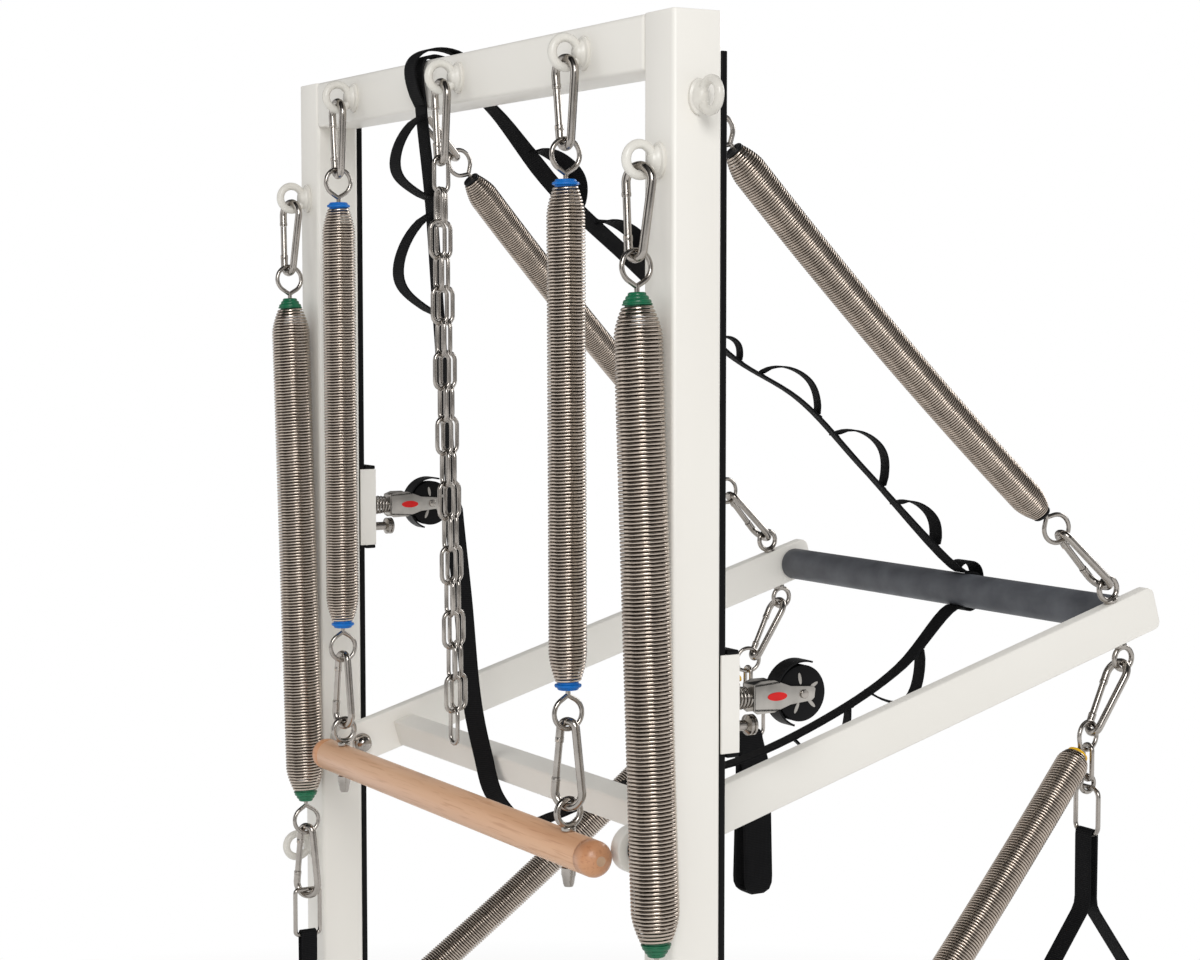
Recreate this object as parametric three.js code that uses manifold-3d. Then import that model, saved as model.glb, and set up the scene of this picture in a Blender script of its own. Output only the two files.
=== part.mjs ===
import * as THREE from 'three';
import Module from 'manifold-3d';
import { mergeVertices } from 'three/addons/utils/BufferGeometryUtils.js';

// Spring tower for pilates. Millimetres. X runs across the portal, +Y to the back, +Z up.
// The origin is on the floor, midway between the uprights, in the plane of their front faces.

// Portal
const portalHeight = 1850;
const portalWidth = 820;
const tubeSide = 50;
const tubeWall = 2.5;
const tubeCorner = 5;
const footPlateLength = 130;
const footPlateDepth = 110;
const footPlateThickness = 6;
const footHoleRadius = 4.5;
const footHoleInset = 18;
const fitGap = 0.3;
const bearGap = 0.4;
const seatGap = 0.75;
const weldBite = 1;

// Welded eyes of the portal
const eyeRodRadius = 4;
const eyeRingRadius = 13.5;
const eyeReach = 20.5;
const eyeFlangeRadius = 16;
const eyeFlangeThickness = 7;
const eyeFlangeTopShare = 0.8;
const beamEyeDrop = 25;
const springEyeX = 256;
const greenEyeDrop = 129;
const greenEyeInset = 22;
const lowEyeDrop = 877;
const sideEyeDrop = 75;
const yellowEyeDrop = 1174;
const blackEyeInset = 48;

// Tracks on the uprights' rear faces
const trackWidth = 46;
const trackDepth = 6;
const trackTopGap = 34;
const trackFootGap = 12;

// Push-through bar: a lies along the arms, h square to them
const barAngle = THREE.MathUtils.degToRad(16.565);
const barLineDrop = 755.5;
const armThickness = 15;
const armHeight = 45;
const armGap = 39.5;
const armBackReach = -1.5;
const armLength = 672;
const armTipRadius = 8;
const pivotAlong = 26;
const pivotBoltRadius = 6;
const braceAlong = 70;
const braceDepth = 26;
const braceHeight = 30;
const braceStep = 2;
const padAlong = 645;
const padRise = -2;
const padRadius = 19;
const gripTubeRadius = 12.7;
const padBore = gripTubeRadius + fitGap;

// Pivot hardware
const capNutRadius = 11.3;
const capNutHeight = 13;
const capNutHexShare = 0.45;
const capNutDomeShare = 0.8;
const capNutTipShare = 0.4;
const rubberRadius = 16;
const rubberThickness = 4.5;
const spacerRadius = 12;

// Eye bolts through the arms
const barEyeAlong = 620;
const barEyeTopRise = 37;
const barEyeLowRise = -39;
const barEyeRodRadius = 2.9;
const barEyeRingRadius = 11.6;
const barEyeCollarRadius = 7;
const barEyeCollarHeight = 3;
const barEyeShankRadius = 3;
const barEyeHoleRadius = barEyeShankRadius + fitGap;

// Snap hooks
const hookRodRadius = 4;
const hookLength = 88;
const hookWideRadius = 14;
const hookNarrowRadius = 8;

// Springs
const wireRadius = 2.5;
const curls = 6;
const curlSteps = 8;
const springEyeRingRadius = 14.5;
const springEyeStem = 10;
const springCapHeight = 12;
const springCapNeck = 9;
const coneLength = 30;
const coneEndShare = 0.62;
const blueRadius = 18;
const greenRadius = 24;
const blackRadius = 17;
const yellowRadius = 17;
const blueEndDrop = 607;
const greenLean = 38;
const greenEndDrop = 818;
const blackSag = 8;
const yellowSag = 10;

// Roll-down bar
const rollBarRadius = 17;
const rollBarLength = 633;
const rollBarAside = 4.5;
const rollEndShare = 0.5;
const rollTipShare = 0.7;
const rollShoulderShare = 0.93;
const rollEyeX = 256;
const rollEyeRingRadius = 12.3;
const rollEyeRodRadius = 3;
const rollNutRadius = 7;
const rollNutHeight = 18;
const rollNutHexShare = 0.4;
const rollNutTipShare = 0.55;
const rollCollarHeight = 4;
const rollRingRise = 2;
const rollShankRadius = 3;

// Chain
const chainHookX = 0;
const chainLean = 17;
const strandGap = 12.6;
const chainBite = 0.5;
const chainRod = 2.2;
const linkLength = 41;
const linkWidth = 20;
const chainStrandLinks = 17;

// Small links and handles on the push-through bar
const smallRodRadius = 2.5;
const quickLinkLength = 36;
const quickLinkWidth = 14;
const smallRingWidth = 17;
const smallRingBiteShare = 1.6;
const yellowHookLean = THREE.MathUtils.degToRad(29.16);
const ovalLinkLength = 48;
const ovalLinkWidth = 34;
const webThickness = 2.4;
const footFrameLength = 58;
const footFrameWidth = 46;
const footLoopSpread = 26;
const footLoopDrop = 196;
const footLoopThickness = 6;
const handleSplit = 75;
const handleDrop = 190;
const handleSpread = 150;
const greenRingLength = 52;
const greenRingWidth = 30;
const greenHandleDrop = 190;
const greenHandleWidth = 120;
const greenStrapDrop = 40;
const cornerShare = 0.12;
const wrapTopShare = 1.1;
const wrapSideShare = 0.8;
const wrapShoulderShare = 0.7;
const wireCorner = 4;
const gripRadius = 13;

// Daisy-chain strap: a closed loop over the beam and round the grip
const strapWidth = 25;
const strapThickness = 2.4;
const strapSlack = 1.1;
const loopSteps = 6;
const strapGripX = 31;
const strapGripDegrees = [-125, -80, -35, 10, 55, 100];
// each sewn loop: where it starts and ends along the strap, and its bulge as a share of that length
const strapLoopShares = [
  [0.991, 1.033, 0.6],
  [0.0376, 0.0734, 0.42],
  [0.0803, 0.1243, 0.4],
  [0.512, 0.5387, 0.42],
  [0.5515, 0.5856, 0.42],
  [0.6323, 0.6478, 0.45],
  [0.6632, 0.6919, 0.42],
  [0.7033, 0.7387, 0.45],
  [0.752, 0.7878, 0.4],
  [0.8005, 0.8164, 0.45],
  [0.8638, 0.8952, 0.35],
  [0.9069, 0.9389, 0.35],
];
const strapMiddleDepth = 300;
const strapMiddleDrop = 500;

// Carriages, pull pins and pulleys
const carriageLength = 96;
const carriageLip = 2;
const carriageDepth = 13;
const rightCarriageDrop = 606;
const leftCarriageDrop = 484;
const pinRise = -25;
const pinRadius = 5;
const pinClearance = 0.8;
const pinHoleRadius = pinRadius + pinClearance;
const pinStem = 24;
const pinKnobRadius = 9.5;
const pinKnobThickness = 7;
const pinDepth = 8;
const pulleyStalk = 62;
const swivelRadius = 6;
const coilLength = 26;
const coilRadius = 8;
const forkLength = 66;
const forkHeight = 24;
const forkCheek = 2;
const forkGap = 15;
const axleShare = 0.28;
const axleOverhang = 2;
const wheelRadius = 26;
const wheelThickness = 12;
const axleRadius = 3;
const guardGap = 4;
const guardRadius = wheelRadius + guardGap;
const guardThickness = 2;
const guardStart = THREE.MathUtils.degToRad(155);
const guardSweepAbove = THREE.MathUtils.degToRad(83);
const guardSweepBelow = THREE.MathUtils.degToRad(45);
const guardSteps = 5;
const grooveShare = 0.86;
const rimShare = 0.15;

// Smoothness, as counts
const ringSteps = 8;
const rodSides = 5;
const hookSides = 5;
const chainSides = 4;
const springEyeSteps = 8;
const springCapSides = 8;
const roundSides = 16;
const smallRoundSides = 8;
const tubeCornerSteps = 3;
const coreCornerSteps = 1;
const plateCornerSteps = 2;
const armRoundSteps = 5;
const chainEndSteps = 2;
const half = 0.5;

const wasm = await Module();
wasm.setup();

const X = new THREE.Vector3(1, 0, 0);
const Y = new THREE.Vector3(0, 1, 0);
const Z = new THREE.Vector3(0, 0, 1);
const vec = (x, y, z) => new THREE.Vector3(x, y, z);
const along = (start, direction, distance) => start.clone().addScaledVector(direction, distance);
const halfWidth = portalWidth / 2;
const innerFace = halfWidth - tubeSide;
const greenTopX = halfWidth - greenEyeInset;
const armOuter = innerFace - armGap;
const armInner = armOuter - armThickness;
const armMid = (armOuter + armInner) / 2;
const blackEyeX = armMid - blackEyeInset;
const tubeMid = tubeSide / 2;
const tubeBore = tubeSide - tubeWall * 2;
const level = (drop) => portalHeight - drop;
// a faceted hole whose flats clear the corners of the round that turns in it
const clearHole = (radius, gap, sides) => (radius + gap) / Math.cos(Math.PI / sides);

// Solids

function bare(geometry) {
  const copy = geometry.clone();
  copy.deleteAttribute('normal');
  copy.deleteAttribute('uv');
  return mergeVertices(copy);
}

function toManifold(geometry) {
  const merged = bare(geometry);
  const vertProperties = new Float32Array(merged.attributes.position.array);
  const triVerts = new Uint32Array(merged.index.array);
  return new wasm.Manifold(new wasm.Mesh({ numProp: 3, vertProperties, triVerts }));
}

function fromManifold(solid) {
  const mesh = solid.getMesh();
  const geometry = new THREE.BufferGeometry();
  geometry.setAttribute('position', new THREE.BufferAttribute(new Float32Array(mesh.vertProperties), 3));
  geometry.setIndex(new THREE.BufferAttribute(new Uint32Array(mesh.triVerts), 1));
  return geometry;
}

function join(...geometries) {
  let total = toManifold(geometries[0]);
  for (const geometry of geometries.slice(1)) {
    total = total.add(toManifold(geometry));
  }
  return fromManifold(total);
}

function cut(geometry, ...tools) {
  let total = toManifold(geometry);
  for (const tool of tools) {
    total = total.subtract(toManifold(tool));
  }
  return fromManifold(total);
}

// A section in (v, w) carried along points; across fixes which way v looks, else it is carried on.
function sweep(points, sectionAt, { closed = false, across = null } = {}) {
  const count = points.length;
  const positions = [];
  const indices = [];
  let carried = null;
  let sides = 0;
  for (let i = 0; i < count; i += 1) {
    const before = points[closed ? (i + count - 1) % count : Math.max(i - 1, 0)];
    const after = points[closed ? (i + 1) % count : Math.min(i + 1, count - 1)];
    const here = points[i];
    const incoming = (before === here ? after : here).clone().sub(before).normalize();
    const outgoing = (after === here ? incoming.clone() : after.clone().sub(here)).normalize();
    const tangent = incoming.clone().add(outgoing).normalize();
    const bend = outgoing.clone().sub(incoming).normalize();
    const mitre = 1 / Math.max(tangent.dot(incoming), half) - 1;
    if (across) {
      carried = typeof across === 'function' ? across(i / count) : across.clone();
    } else if (!carried) {
      carried = Math.abs(tangent.x) < Math.SQRT1_2 ? X.clone() : Y.clone();
    }
    const v = carried.clone().addScaledVector(tangent, -carried.dot(tangent)).normalize();
    carried = v.clone();
    const w = tangent.clone().cross(v);
    const section = typeof sectionAt === 'function' ? sectionAt(i / (count - 1)) : sectionAt;
    sides = section.length;
    for (const [a, b] of section) {
      const offset = v.clone().multiplyScalar(a).addScaledVector(w, b);
      offset.addScaledVector(bend, offset.dot(bend) * mitre);
      const spot = points[i].clone().add(offset);
      positions.push(spot.x, spot.y, spot.z);
    }
  }
  const spans = closed ? count : count - 1;
  for (let i = 0; i < spans; i += 1) {
    const here = i * sides;
    const next = ((i + 1) % count) * sides;
    for (let j = 0; j < sides; j += 1) {
      const k = (j + 1) % sides;
      indices.push(here + j, here + k, next + j);
      indices.push(here + k, next + k, next + j);
    }
  }
  if (!closed) {
    const last = (count - 1) * sides;
    for (let j = 1; j < sides - 1; j += 1) {
      indices.push(0, j + 1, j);
      indices.push(last, last + j, last + j + 1);
    }
  }
  const geometry = new THREE.BufferGeometry();
  geometry.setAttribute('position', new THREE.Float32BufferAttribute(positions, 3));
  geometry.setIndex(indices);
  return geometry;
}

// a four-sided rod has its flats, not its corners, on the circle
function roundSection(radius, sides) {
  const reach = sides > chainSides ? radius : radius / Math.cos(Math.PI / sides);
  return Array.from({ length: sides }, (_, j) => {
    const angle = ((j + half) / sides) * Math.PI * 2;
    return [reach * Math.cos(angle), reach * Math.sin(angle)];
  });
}

function boxSection(width, height, radius, steps) {
  const section = [];
  const corners = [[1, 1], [-1, 1], [-1, -1], [1, -1]];
  corners.forEach(([sx, sy], quarter) => {
    for (let i = 0; i <= steps; i += 1) {
      const angle = (quarter + (steps ? i / steps : half)) * Math.PI * half;
      const x = sx * (width / 2 - radius) + radius * Math.cos(angle);
      const y = sy * (height / 2 - radius) + radius * Math.sin(angle);
      section.push(steps ? [x, y] : [(sx * width) / 2, (sy * height) / 2]);
    }
  });
  return section;
}

function rod(from, to, radius, sides = smallRoundSides) {
  return sweep([from, to], roundSection(radius, sides));
}

function box(from, to, across, width, height, radius = 0, steps = 0) {
  return sweep([from, to], boxSection(width, height, radius, steps), { across });
}

// profile is [radius, distance] pairs from the start, on the axis at both ends
function turned(start, direction, profile, sides = roundSides) {
  const points = profile.map(([r, z]) => new THREE.Vector2(r, z));
  const geometry = bare(new THREE.LatheGeometry(points, sides));
  geometry.applyQuaternion(new THREE.Quaternion().setFromUnitVectors(Y, direction));
  geometry.translate(start.x, start.y, start.z);
  return geometry;
}

function ring(centre, first, second, radius, rodRadius, steps = ringSteps, sides = rodSides) {
  const points = Array.from({ length: steps }, (_, i) => {
    const angle = ((i + half) / steps) * Math.PI * 2;
    const reach = radius / Math.cos(Math.PI / steps);
    return along(along(centre, first, reach * Math.cos(angle)), second, reach * Math.sin(angle));
  });
  const normal = first.clone().cross(second);
  return sweep(points, roundSection(rodRadius, sides), { closed: true, across: normal });
}

// A loop with one round end of each radius; start is the middle of the rod at the first end.
function loopPoints(start, direction, side, length, firstRadius, lastRadius, endSteps) {
  const centreGap = length - firstRadius - lastRadius;
  const tilt = Math.asin((firstRadius - lastRadius) / centreGap);
  const points = [];
  const place = (s, u) => points.push(along(along(start, direction, s), side, u));
  const arc = (centre, radius, from, turn) => {
    const reach = radius / Math.cos(turn / endSteps / 2);
    for (let i = 0; i < endSteps; i += 1) {
      const angle = from + ((i + half) / endSteps) * turn;
      place(centre + reach * Math.cos(angle), reach * Math.sin(angle));
    }
  };
  arc(firstRadius, firstRadius, Math.PI * half - tilt, Math.PI + tilt * 2);
  arc(length - lastRadius, lastRadius, Math.PI * 1.5 + tilt, Math.PI - tilt * 2);
  return points;
}

function loop(start, direction, side, length, firstRadius, lastRadius, rodRadius, endSteps = 4) {
  const points = loopPoints(start, direction, side, length, firstRadius, lastRadius, endSteps);
  const normal = direction.clone().cross(side);
  return sweep(points, roundSection(rodRadius, hookSides), { closed: true, across: normal });
}

// A wire frame with cut corners and flat ends, for webbing to lie on.
function wireFrame(start, direction, side, length, width) {
  const flat = width / 2 - wireCorner;
  const outline = [
    [0, flat],
    [0, -flat],
    [wireCorner, -width / 2],
    [length - wireCorner, -width / 2],
    [length, -flat],
    [length, flat],
    [length - wireCorner, width / 2],
    [wireCorner, width / 2],
  ];
  const points = outline.map(([s, u]) => along(along(start, direction, s), side, u));
  const normal = direction.clone().cross(side);
  return sweep(points, roundSection(smallRodRadius, hookSides), { closed: true, across: normal });
}

const hookSpan = hookLength - hookRodRadius * 2;

// wide end first; narrow ends face the springs
function snapHook(start, direction, side, wideFirst) {
  const firstRadius = wideFirst ? hookWideRadius : hookNarrowRadius;
  const lastRadius = wideFirst ? hookNarrowRadius : hookWideRadius;
  return loop(start, direction, side, hookSpan, firstRadius, lastRadius, hookRodRadius);
}

// Springs

const seat = hookRodRadius + wireRadius + seatGap;
const eyeSpan = springEyeRingRadius * 2 + springEyeStem - wireRadius;
const reports = [];

function leastGap(points, radius, skip) {
  let least = Infinity;
  for (let i = 0; i < points.length; i += 1) {
    for (let j = i + skip; j < points.length; j += 1) {
      least = Math.min(least, points[i].distanceTo(points[j]) - radius * 2);
    }
  }
  return least;
}

// from and to are the middles of the wire at the far side of each end eye
function springUnit(name, from, to, eyeSide, lowEyeSide, outerRadius, sag) {
  const span = to.clone().sub(from);
  const length = span.length();
  const direction = span.normalize();
  const down = Z.clone().negate();
  const bow = down.addScaledVector(direction, -down.dot(direction)).normalize();
  const axisAt = (distance) => {
    const share = distance / length;
    return along(along(from, direction, distance), bow, sag * share * (1 - share) * 4);
  };
  const first = eyeSpan;
  const last = length - eyeSpan;
  const bodyLength = last - first;
  const coilRadiusAt = (distance) => {
    const edge = Math.min(distance - first, last - distance);
    const share = Math.min(1, Math.max(0, edge / coneLength));
    return (outerRadius - wireRadius) * (coneEndShare + (1 - coneEndShare) * share);
  };
  const side = eyeSide.clone().addScaledVector(direction, -eyeSide.dot(direction)).normalize();
  const other = direction.clone().cross(side);
  const coilStart = first + springCapHeight;
  const coilEnd = last - springCapHeight;
  const steps = curls * curlSteps;
  const points = [];
  const coil = [];
  const spot = (distance, angle) => {
    const radius = coilRadiusAt(distance);
    const centre = axisAt(distance);
    return along(along(centre, side, radius * Math.cos(angle)), other, radius * Math.sin(angle));
  };
  for (let i = 0; i <= steps; i += 1) {
    const share = i / steps;
    const distance = coilStart + (coilEnd - coilStart) * share;
    coil.push(spot(distance, share * curls * Math.PI * 2));
  }
  points.push(along(coil[0], direction, -wireRadius * 2));
  points.push(...coil);
  points.push(along(coil[coil.length - 1], direction, wireRadius * 2));
  const gap = leastGap(coil, wireRadius, curlSteps).toFixed(1);
  reports.push(`${name}: least gap of the wire to itself ${gap} mm`);
  const tube = sweep(points, roundSection(wireRadius, hookSides));
  const capRadius = outerRadius * coneEndShare + wireRadius;
  const cap = (distance, sense) => {
    const start = axisAt(distance);
    const facing = direction.clone().multiplyScalar(sense);
    const profile = [
      [0, 0],
      [springCapNeck, 0],
      [capRadius, springCapHeight - wireRadius],
      [0, springCapHeight - wireRadius],
    ];
    return turned(start, facing, profile, springCapSides);
  };
  const endEye = (start, facing, plane) => {
    const flat = plane.clone().addScaledVector(facing, -plane.dot(facing)).normalize();
    const centre = along(start, facing, springEyeRingRadius);
    const round = ring(centre, facing, flat, springEyeRingRadius, wireRadius, springEyeSteps, chainSides);
    const stemStart = along(start, facing, springEyeRingRadius * 2 - wireRadius * half);
    const stemEnd = along(start, facing, eyeSpan + springCapHeight * half);
    return join(round, rod(stemStart, stemEnd, wireRadius, chainSides));
  };
  const back = direction.clone().negate();
  return join(
    tube,
    cap(first, 1),
    cap(last, -1),
    endEye(from, direction, eyeSide),
    endEye(to, back, lowEyeSide),
  );
}

// Assembly

const tower = new THREE.Group();
tower.name = 'pilates_tower_unit';

function paint(colour, roughness, metalness) {
  return { color: new THREE.Color(colour), roughness, metalness };
}

const ivory = paint(0xece9e1, 0.45, 0);
const steel = paint(0xb9b4ad, 0.28, 1);
const springSteel = paint(0xa79f96, 0.32, 1);
const black = paint(0x161616, 0.7, 0);
const foam = paint(0x4b5059, 0.8, 0);
const beech = paint(0xd2a27c, 0.5, 0);
const satinSteel = paint(0xa9a59d, 0.4, 1);

function addPart(name, geometry, look) {
  const mesh = new THREE.Mesh(geometry, new THREE.MeshStandardMaterial(look));
  mesh.name = name;
  tower.add(mesh);
  return mesh;
}

function weldedEye(face, outward, planeSide) {
  const centre = along(face, outward, eyeReach);
  const flange = [
    [0, -weldBite],
    [eyeFlangeRadius, -weldBite],
    [eyeFlangeRadius * eyeFlangeTopShare, eyeFlangeThickness],
    [0, eyeFlangeThickness],
  ];
  return join(
    turned(face, outward, flange, springCapSides),
    ring(centre, outward, planeSide, eyeRingRadius, eyeRodRadius),
  );
}

const front = Y.clone().negate();
const down = Z.clone().negate();
const left = X.clone().negate();

function upright(sign) {
  const middle = sign * (halfWidth - tubeMid);
  const outward = sign > 0 ? X : left;
  const outer = box(
    vec(middle, tubeMid, 0), vec(middle, tubeMid, portalHeight), X, tubeSide, tubeSide, tubeCorner,
    tubeCornerSteps,
  );
  const core = box(
    vec(middle, tubeMid, -weldBite), vec(middle, tubeMid, portalHeight - tubeWall),
    X, tubeBore, tubeBore, tubeCorner - tubeWall, coreCornerSteps,
  );
  const plate = box(
    vec(middle, tubeMid, 0), vec(middle, tubeMid, footPlateThickness),
    X, footPlateLength, footPlateDepth, tubeCorner, plateCornerSteps,
  );
  const holes = [-1, 1].flatMap((sx) => [-1, 1].map((sy) => {
    const x = middle + sx * (footPlateLength / 2 - footHoleInset);
    const y = tubeMid + sy * (footPlateDepth / 2 - footHoleInset);
    return rod(vec(x, y, -weldBite), vec(x, y, footPlateThickness + weldBite), footHoleRadius);
  }));
  const solid = cut(join(outer, plate), core, ...holes);
  const eyeX = sign * greenTopX;
  return join(
    solid,
    weldedEye(vec(eyeX, 0, level(greenEyeDrop)), front, Z),
    weldedEye(vec(eyeX, 0, level(lowEyeDrop)), front, Z),
    weldedEye(vec(sign * halfWidth, tubeMid, level(sideEyeDrop)), outward, Z),
    weldedEye(vec(sign * halfWidth, tubeMid, level(yellowEyeDrop)), outward, Z),
  );
}

addPart('left_upright', upright(-1), ivory);
addPart('right_upright', upright(1), ivory);

const beamEnd = innerFace - fitGap;
const beamMid = level(tubeMid);
const beamOuter = box(
  vec(-beamEnd, tubeMid, beamMid), vec(beamEnd, tubeMid, beamMid), Y, tubeSide, tubeSide, tubeCorner,
  tubeCornerSteps,
);
const beamCore = box(
  vec(-beamEnd - weldBite, tubeMid, beamMid), vec(beamEnd + weldBite, tubeMid, beamMid),
  Y, tubeBore, tubeBore, tubeCorner - tubeWall, coreCornerSteps,
);
const beamEyes = [-springEyeX, 0, springEyeX].map(
  (x) => weldedEye(vec(x, 0, level(beamEyeDrop)), front, Z),
);
const rearEyes = [-blackEyeX, blackEyeX].map(
  (x) => weldedEye(vec(x, tubeSide, level(beamEyeDrop)), Y, Z),
);
addPart('top_beam', join(cut(beamOuter, beamCore), ...beamEyes, ...rearEyes), ivory);

for (const [name, sign] of [['left_track', -1], ['right_track', 1]]) {
  const x = sign * (halfWidth - tubeMid);
  const y = tubeSide + fitGap + trackDepth / 2;
  addPart(name, box(
    vec(x, y, footPlateThickness + trackFootGap), vec(x, y, level(trackTopGap)), X, trackWidth, trackDepth,
  ), black);
}

// Push-through bar
const barAxis = vec(0, Math.cos(barAngle), Math.sin(barAngle));
const barNormal = vec(0, -Math.sin(barAngle), Math.cos(barAngle));
const onBar = (x, a, h) => along(along(vec(x, 0, level(barLineDrop)), barAxis, a), barNormal, h);
const halfArm = armHeight / 2;

function arm(sign) {
  const shape = new THREE.Shape();
  shape.moveTo(armBackReach + halfArm, -halfArm);
  shape.lineTo(armLength - armTipRadius, -halfArm);
  shape.absarc(armLength - armTipRadius, armTipRadius - halfArm, armTipRadius, -Math.PI / 2, 0, false);
  shape.absarc(armLength - armTipRadius, halfArm - armTipRadius, armTipRadius, 0, Math.PI / 2, false);
  shape.lineTo(armBackReach + halfArm, halfArm);
  shape.absarc(armBackReach + halfArm, 0, halfArm, Math.PI / 2, Math.PI * 1.5, false);
  const solid = bare(new THREE.ExtrudeGeometry(shape, {
    depth: armThickness, bevelEnabled: false, curveSegments: armRoundSteps,
  }));
  const basis = new THREE.Matrix4().makeBasis(barAxis, barNormal, X);
  solid.applyMatrix4(basis);
  const origin = onBar(sign * armMid - armThickness / 2, 0, 0);
  solid.translate(origin.x, origin.y, origin.z);
  const pivotHole = rod(
    onBar(sign * armMid - armThickness, pivotAlong, 0), onBar(sign * armMid + armThickness, pivotAlong, 0),
    clearHole(pivotBoltRadius, fitGap, smallRoundSides),
  );
  const boltHole = rod(
    onBar(sign * armMid, barEyeAlong, -armHeight), onBar(sign * armMid, barEyeAlong, armHeight),
    barEyeHoleRadius,
  );
  return cut(solid, pivotHole, boltHole);
}

const braceEnd = armInner + weldBite;
const braceMid = braceHeight / 2 - halfArm + braceStep;
const braceMidAlong = braceAlong + braceDepth / 2;
const brace = box(
  onBar(-braceEnd, braceMidAlong, braceMid), onBar(braceEnd, braceMidAlong, braceMid),
  barAxis, braceDepth, braceHeight, tubeCorner, plateCornerSteps,
);
const gripTube = rod(
  onBar(-braceEnd, padAlong, padRise), onBar(braceEnd, padAlong, padRise), gripTubeRadius, roundSides,
);
addPart('push_bar_frame', join(arm(-1), arm(1), brace, gripTube), ivory);

const padEnd = armInner - fitGap;
const padOuter = rod(
  onBar(-padEnd, padAlong, padRise), onBar(padEnd, padAlong, padRise), padRadius, roundSides,
);
const padCore = rod(
  onBar(-armInner, padAlong, padRise), onBar(armInner, padAlong, padRise), padBore, roundSides,
);
addPart('grip_pad', cut(padOuter, padCore), foam);

for (const [name, sign] of [['left', -1], ['right', 1]]) {
  const inward = sign > 0 ? left : X;
  const outward = sign > 0 ? X : left;
  const pivot = onBar(0, pivotAlong, 0);
  const nutStart = vec(sign * (armInner - fitGap), pivot.y, pivot.z);
  const nut = turned(nutStart, inward, [
    [0, 0],
    [capNutRadius, 0],
    [capNutRadius, capNutHeight * capNutHexShare],
    [capNutRadius * capNutDomeShare, capNutHeight * capNutDomeShare],
    [capNutRadius * capNutTipShare, capNutHeight],
    [0, capNutHeight],
  ], smallRoundSides);
  const shankEnd = vec(sign * (innerFace - fitGap), pivot.y, pivot.z);
  const shank = rod(along(nutStart, inward, weldBite), shankEnd, pivotBoltRadius);
  const washerStart = vec(sign * (armOuter + fitGap), pivot.y, pivot.z);
  const washer = rod(washerStart, along(washerStart, outward, rubberThickness), rubberRadius, roundSides);
  const spacer = rod(
    along(washerStart, outward, rubberThickness - weldBite), shankEnd, spacerRadius, roundSides,
  );
  addPart(`${name}_pivot_bolt`, join(nut, shank, washer, spacer), steel);

  const topCentre = onBar(sign * armMid, barEyeAlong, barEyeTopRise);
  const lowCentre = onBar(sign * armMid, barEyeAlong, barEyeLowRise);
  const topFace = onBar(sign * armMid, barEyeAlong, halfArm + fitGap);
  const lowFace = onBar(sign * armMid, barEyeAlong, -halfArm - fitGap);
  const barDown = barNormal.clone().negate();
  const topRing = ring(topCentre, barAxis, barNormal, barEyeRingRadius, barEyeRodRadius, springEyeSteps);
  const lowRing = ring(lowCentre, barAxis, barNormal, barEyeRingRadius, barEyeRodRadius, springEyeSteps);
  const collars = [[topFace, barNormal], [lowFace, barDown]].map(
    ([face, facing]) => rod(face, along(face, facing, barEyeCollarHeight), barEyeCollarRadius),
  );
  const shaft = rod(
    along(topFace, barNormal, weldBite), along(lowFace, barDown, weldBite), barEyeShankRadius,
  );
  addPart(`${name}_bar_eye_bolt`, join(shaft, ...collars, topRing, lowRing), steel);
}

// Spring lines
const hookSeat = eyeRingRadius - eyeRodRadius - hookRodRadius - bearGap;

// A hook hung in a fixed eye, then a spring, then a hook in the far eye. A hook that hangs at
// another angle than the spring has its direction in leans.
function springLine(label, startHookEnd, endHookEnd, eyeSide, radius, sag, leans = {}) {
  const straight = endHookEnd.clone().sub(startHookEnd).normalize();
  const upperDirection = leans.upper ?? straight;
  const lowerDirection = leans.lower ?? straight.clone().negate();
  const upper = snapHook(startHookEnd, upperDirection, squared(X, upperDirection), true);
  const lower = snapHook(endHookEnd, lowerDirection, squared(X, lowerDirection), true);
  addPart(`${label}_upper_hook`, upper, steel);
  addPart(`${label}_lower_hook`, lower, steel);
  const from = along(startHookEnd, upperDirection, hookSpan - seat);
  const to = along(endHookEnd, lowerDirection, hookSpan - seat);
  addPart(`${label}_spring`, springUnit(label, from, to, eyeSide, eyeSide, radius, sag), springSteel);
}

function squared(side, direction) {
  return side.clone().addScaledVector(direction, -side.dot(direction)).normalize();
}

// roll-down bar springs hang plumb in front of the beam
const blueHookDrop = beamEyeDrop + hookSeat;
const frontPlane = -eyeReach;
const blueFootDrop = blueEndDrop + eyeSpan - seat + hookSpan;
const bluePairs = [['left', -1], ['right', 1]];
for (const [name, sign] of bluePairs) {
  springLine(
    `${name}_blue`, vec(sign * springEyeX, frontPlane, level(blueHookDrop)),
    vec(rollBarAside + sign * rollEyeX, frontPlane, level(blueFootDrop)), Y, blueRadius, 0,
  );
}

const rollRingDrop = blueFootDrop + rollEyeRingRadius - rollEyeRodRadius - hookRodRadius - bearGap;
const rollBarDrop = rollRingDrop + rollEyeRingRadius + rollEyeRodRadius + rollRingRise + rollBarRadius;
const rollEnd = rollBarRadius * rollEndShare;
const rollStart = vec(rollBarAside - rollBarLength / 2, frontPlane, level(rollBarDrop));
const rollBody = turned(rollStart, X, [
  [0, 0],
  [rollBarRadius * rollTipShare, 0],
  [rollBarRadius * rollShoulderShare, rollEnd * half],
  [rollBarRadius, rollEnd],
  [rollBarRadius, rollBarLength - rollEnd],
  [rollBarRadius * rollShoulderShare, rollBarLength - rollEnd * half],
  [rollBarRadius * rollTipShare, rollBarLength],
  [0, rollBarLength],
], roundSides);
const rollHoles = bluePairs.map(([, sign]) => rod(
  vec(rollBarAside + sign * rollEyeX, frontPlane, level(rollBarDrop) - rollBarRadius * 2),
  vec(rollBarAside + sign * rollEyeX, frontPlane, level(rollBarDrop) + rollBarRadius * 2),
  rollShankRadius + fitGap,
));
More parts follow.
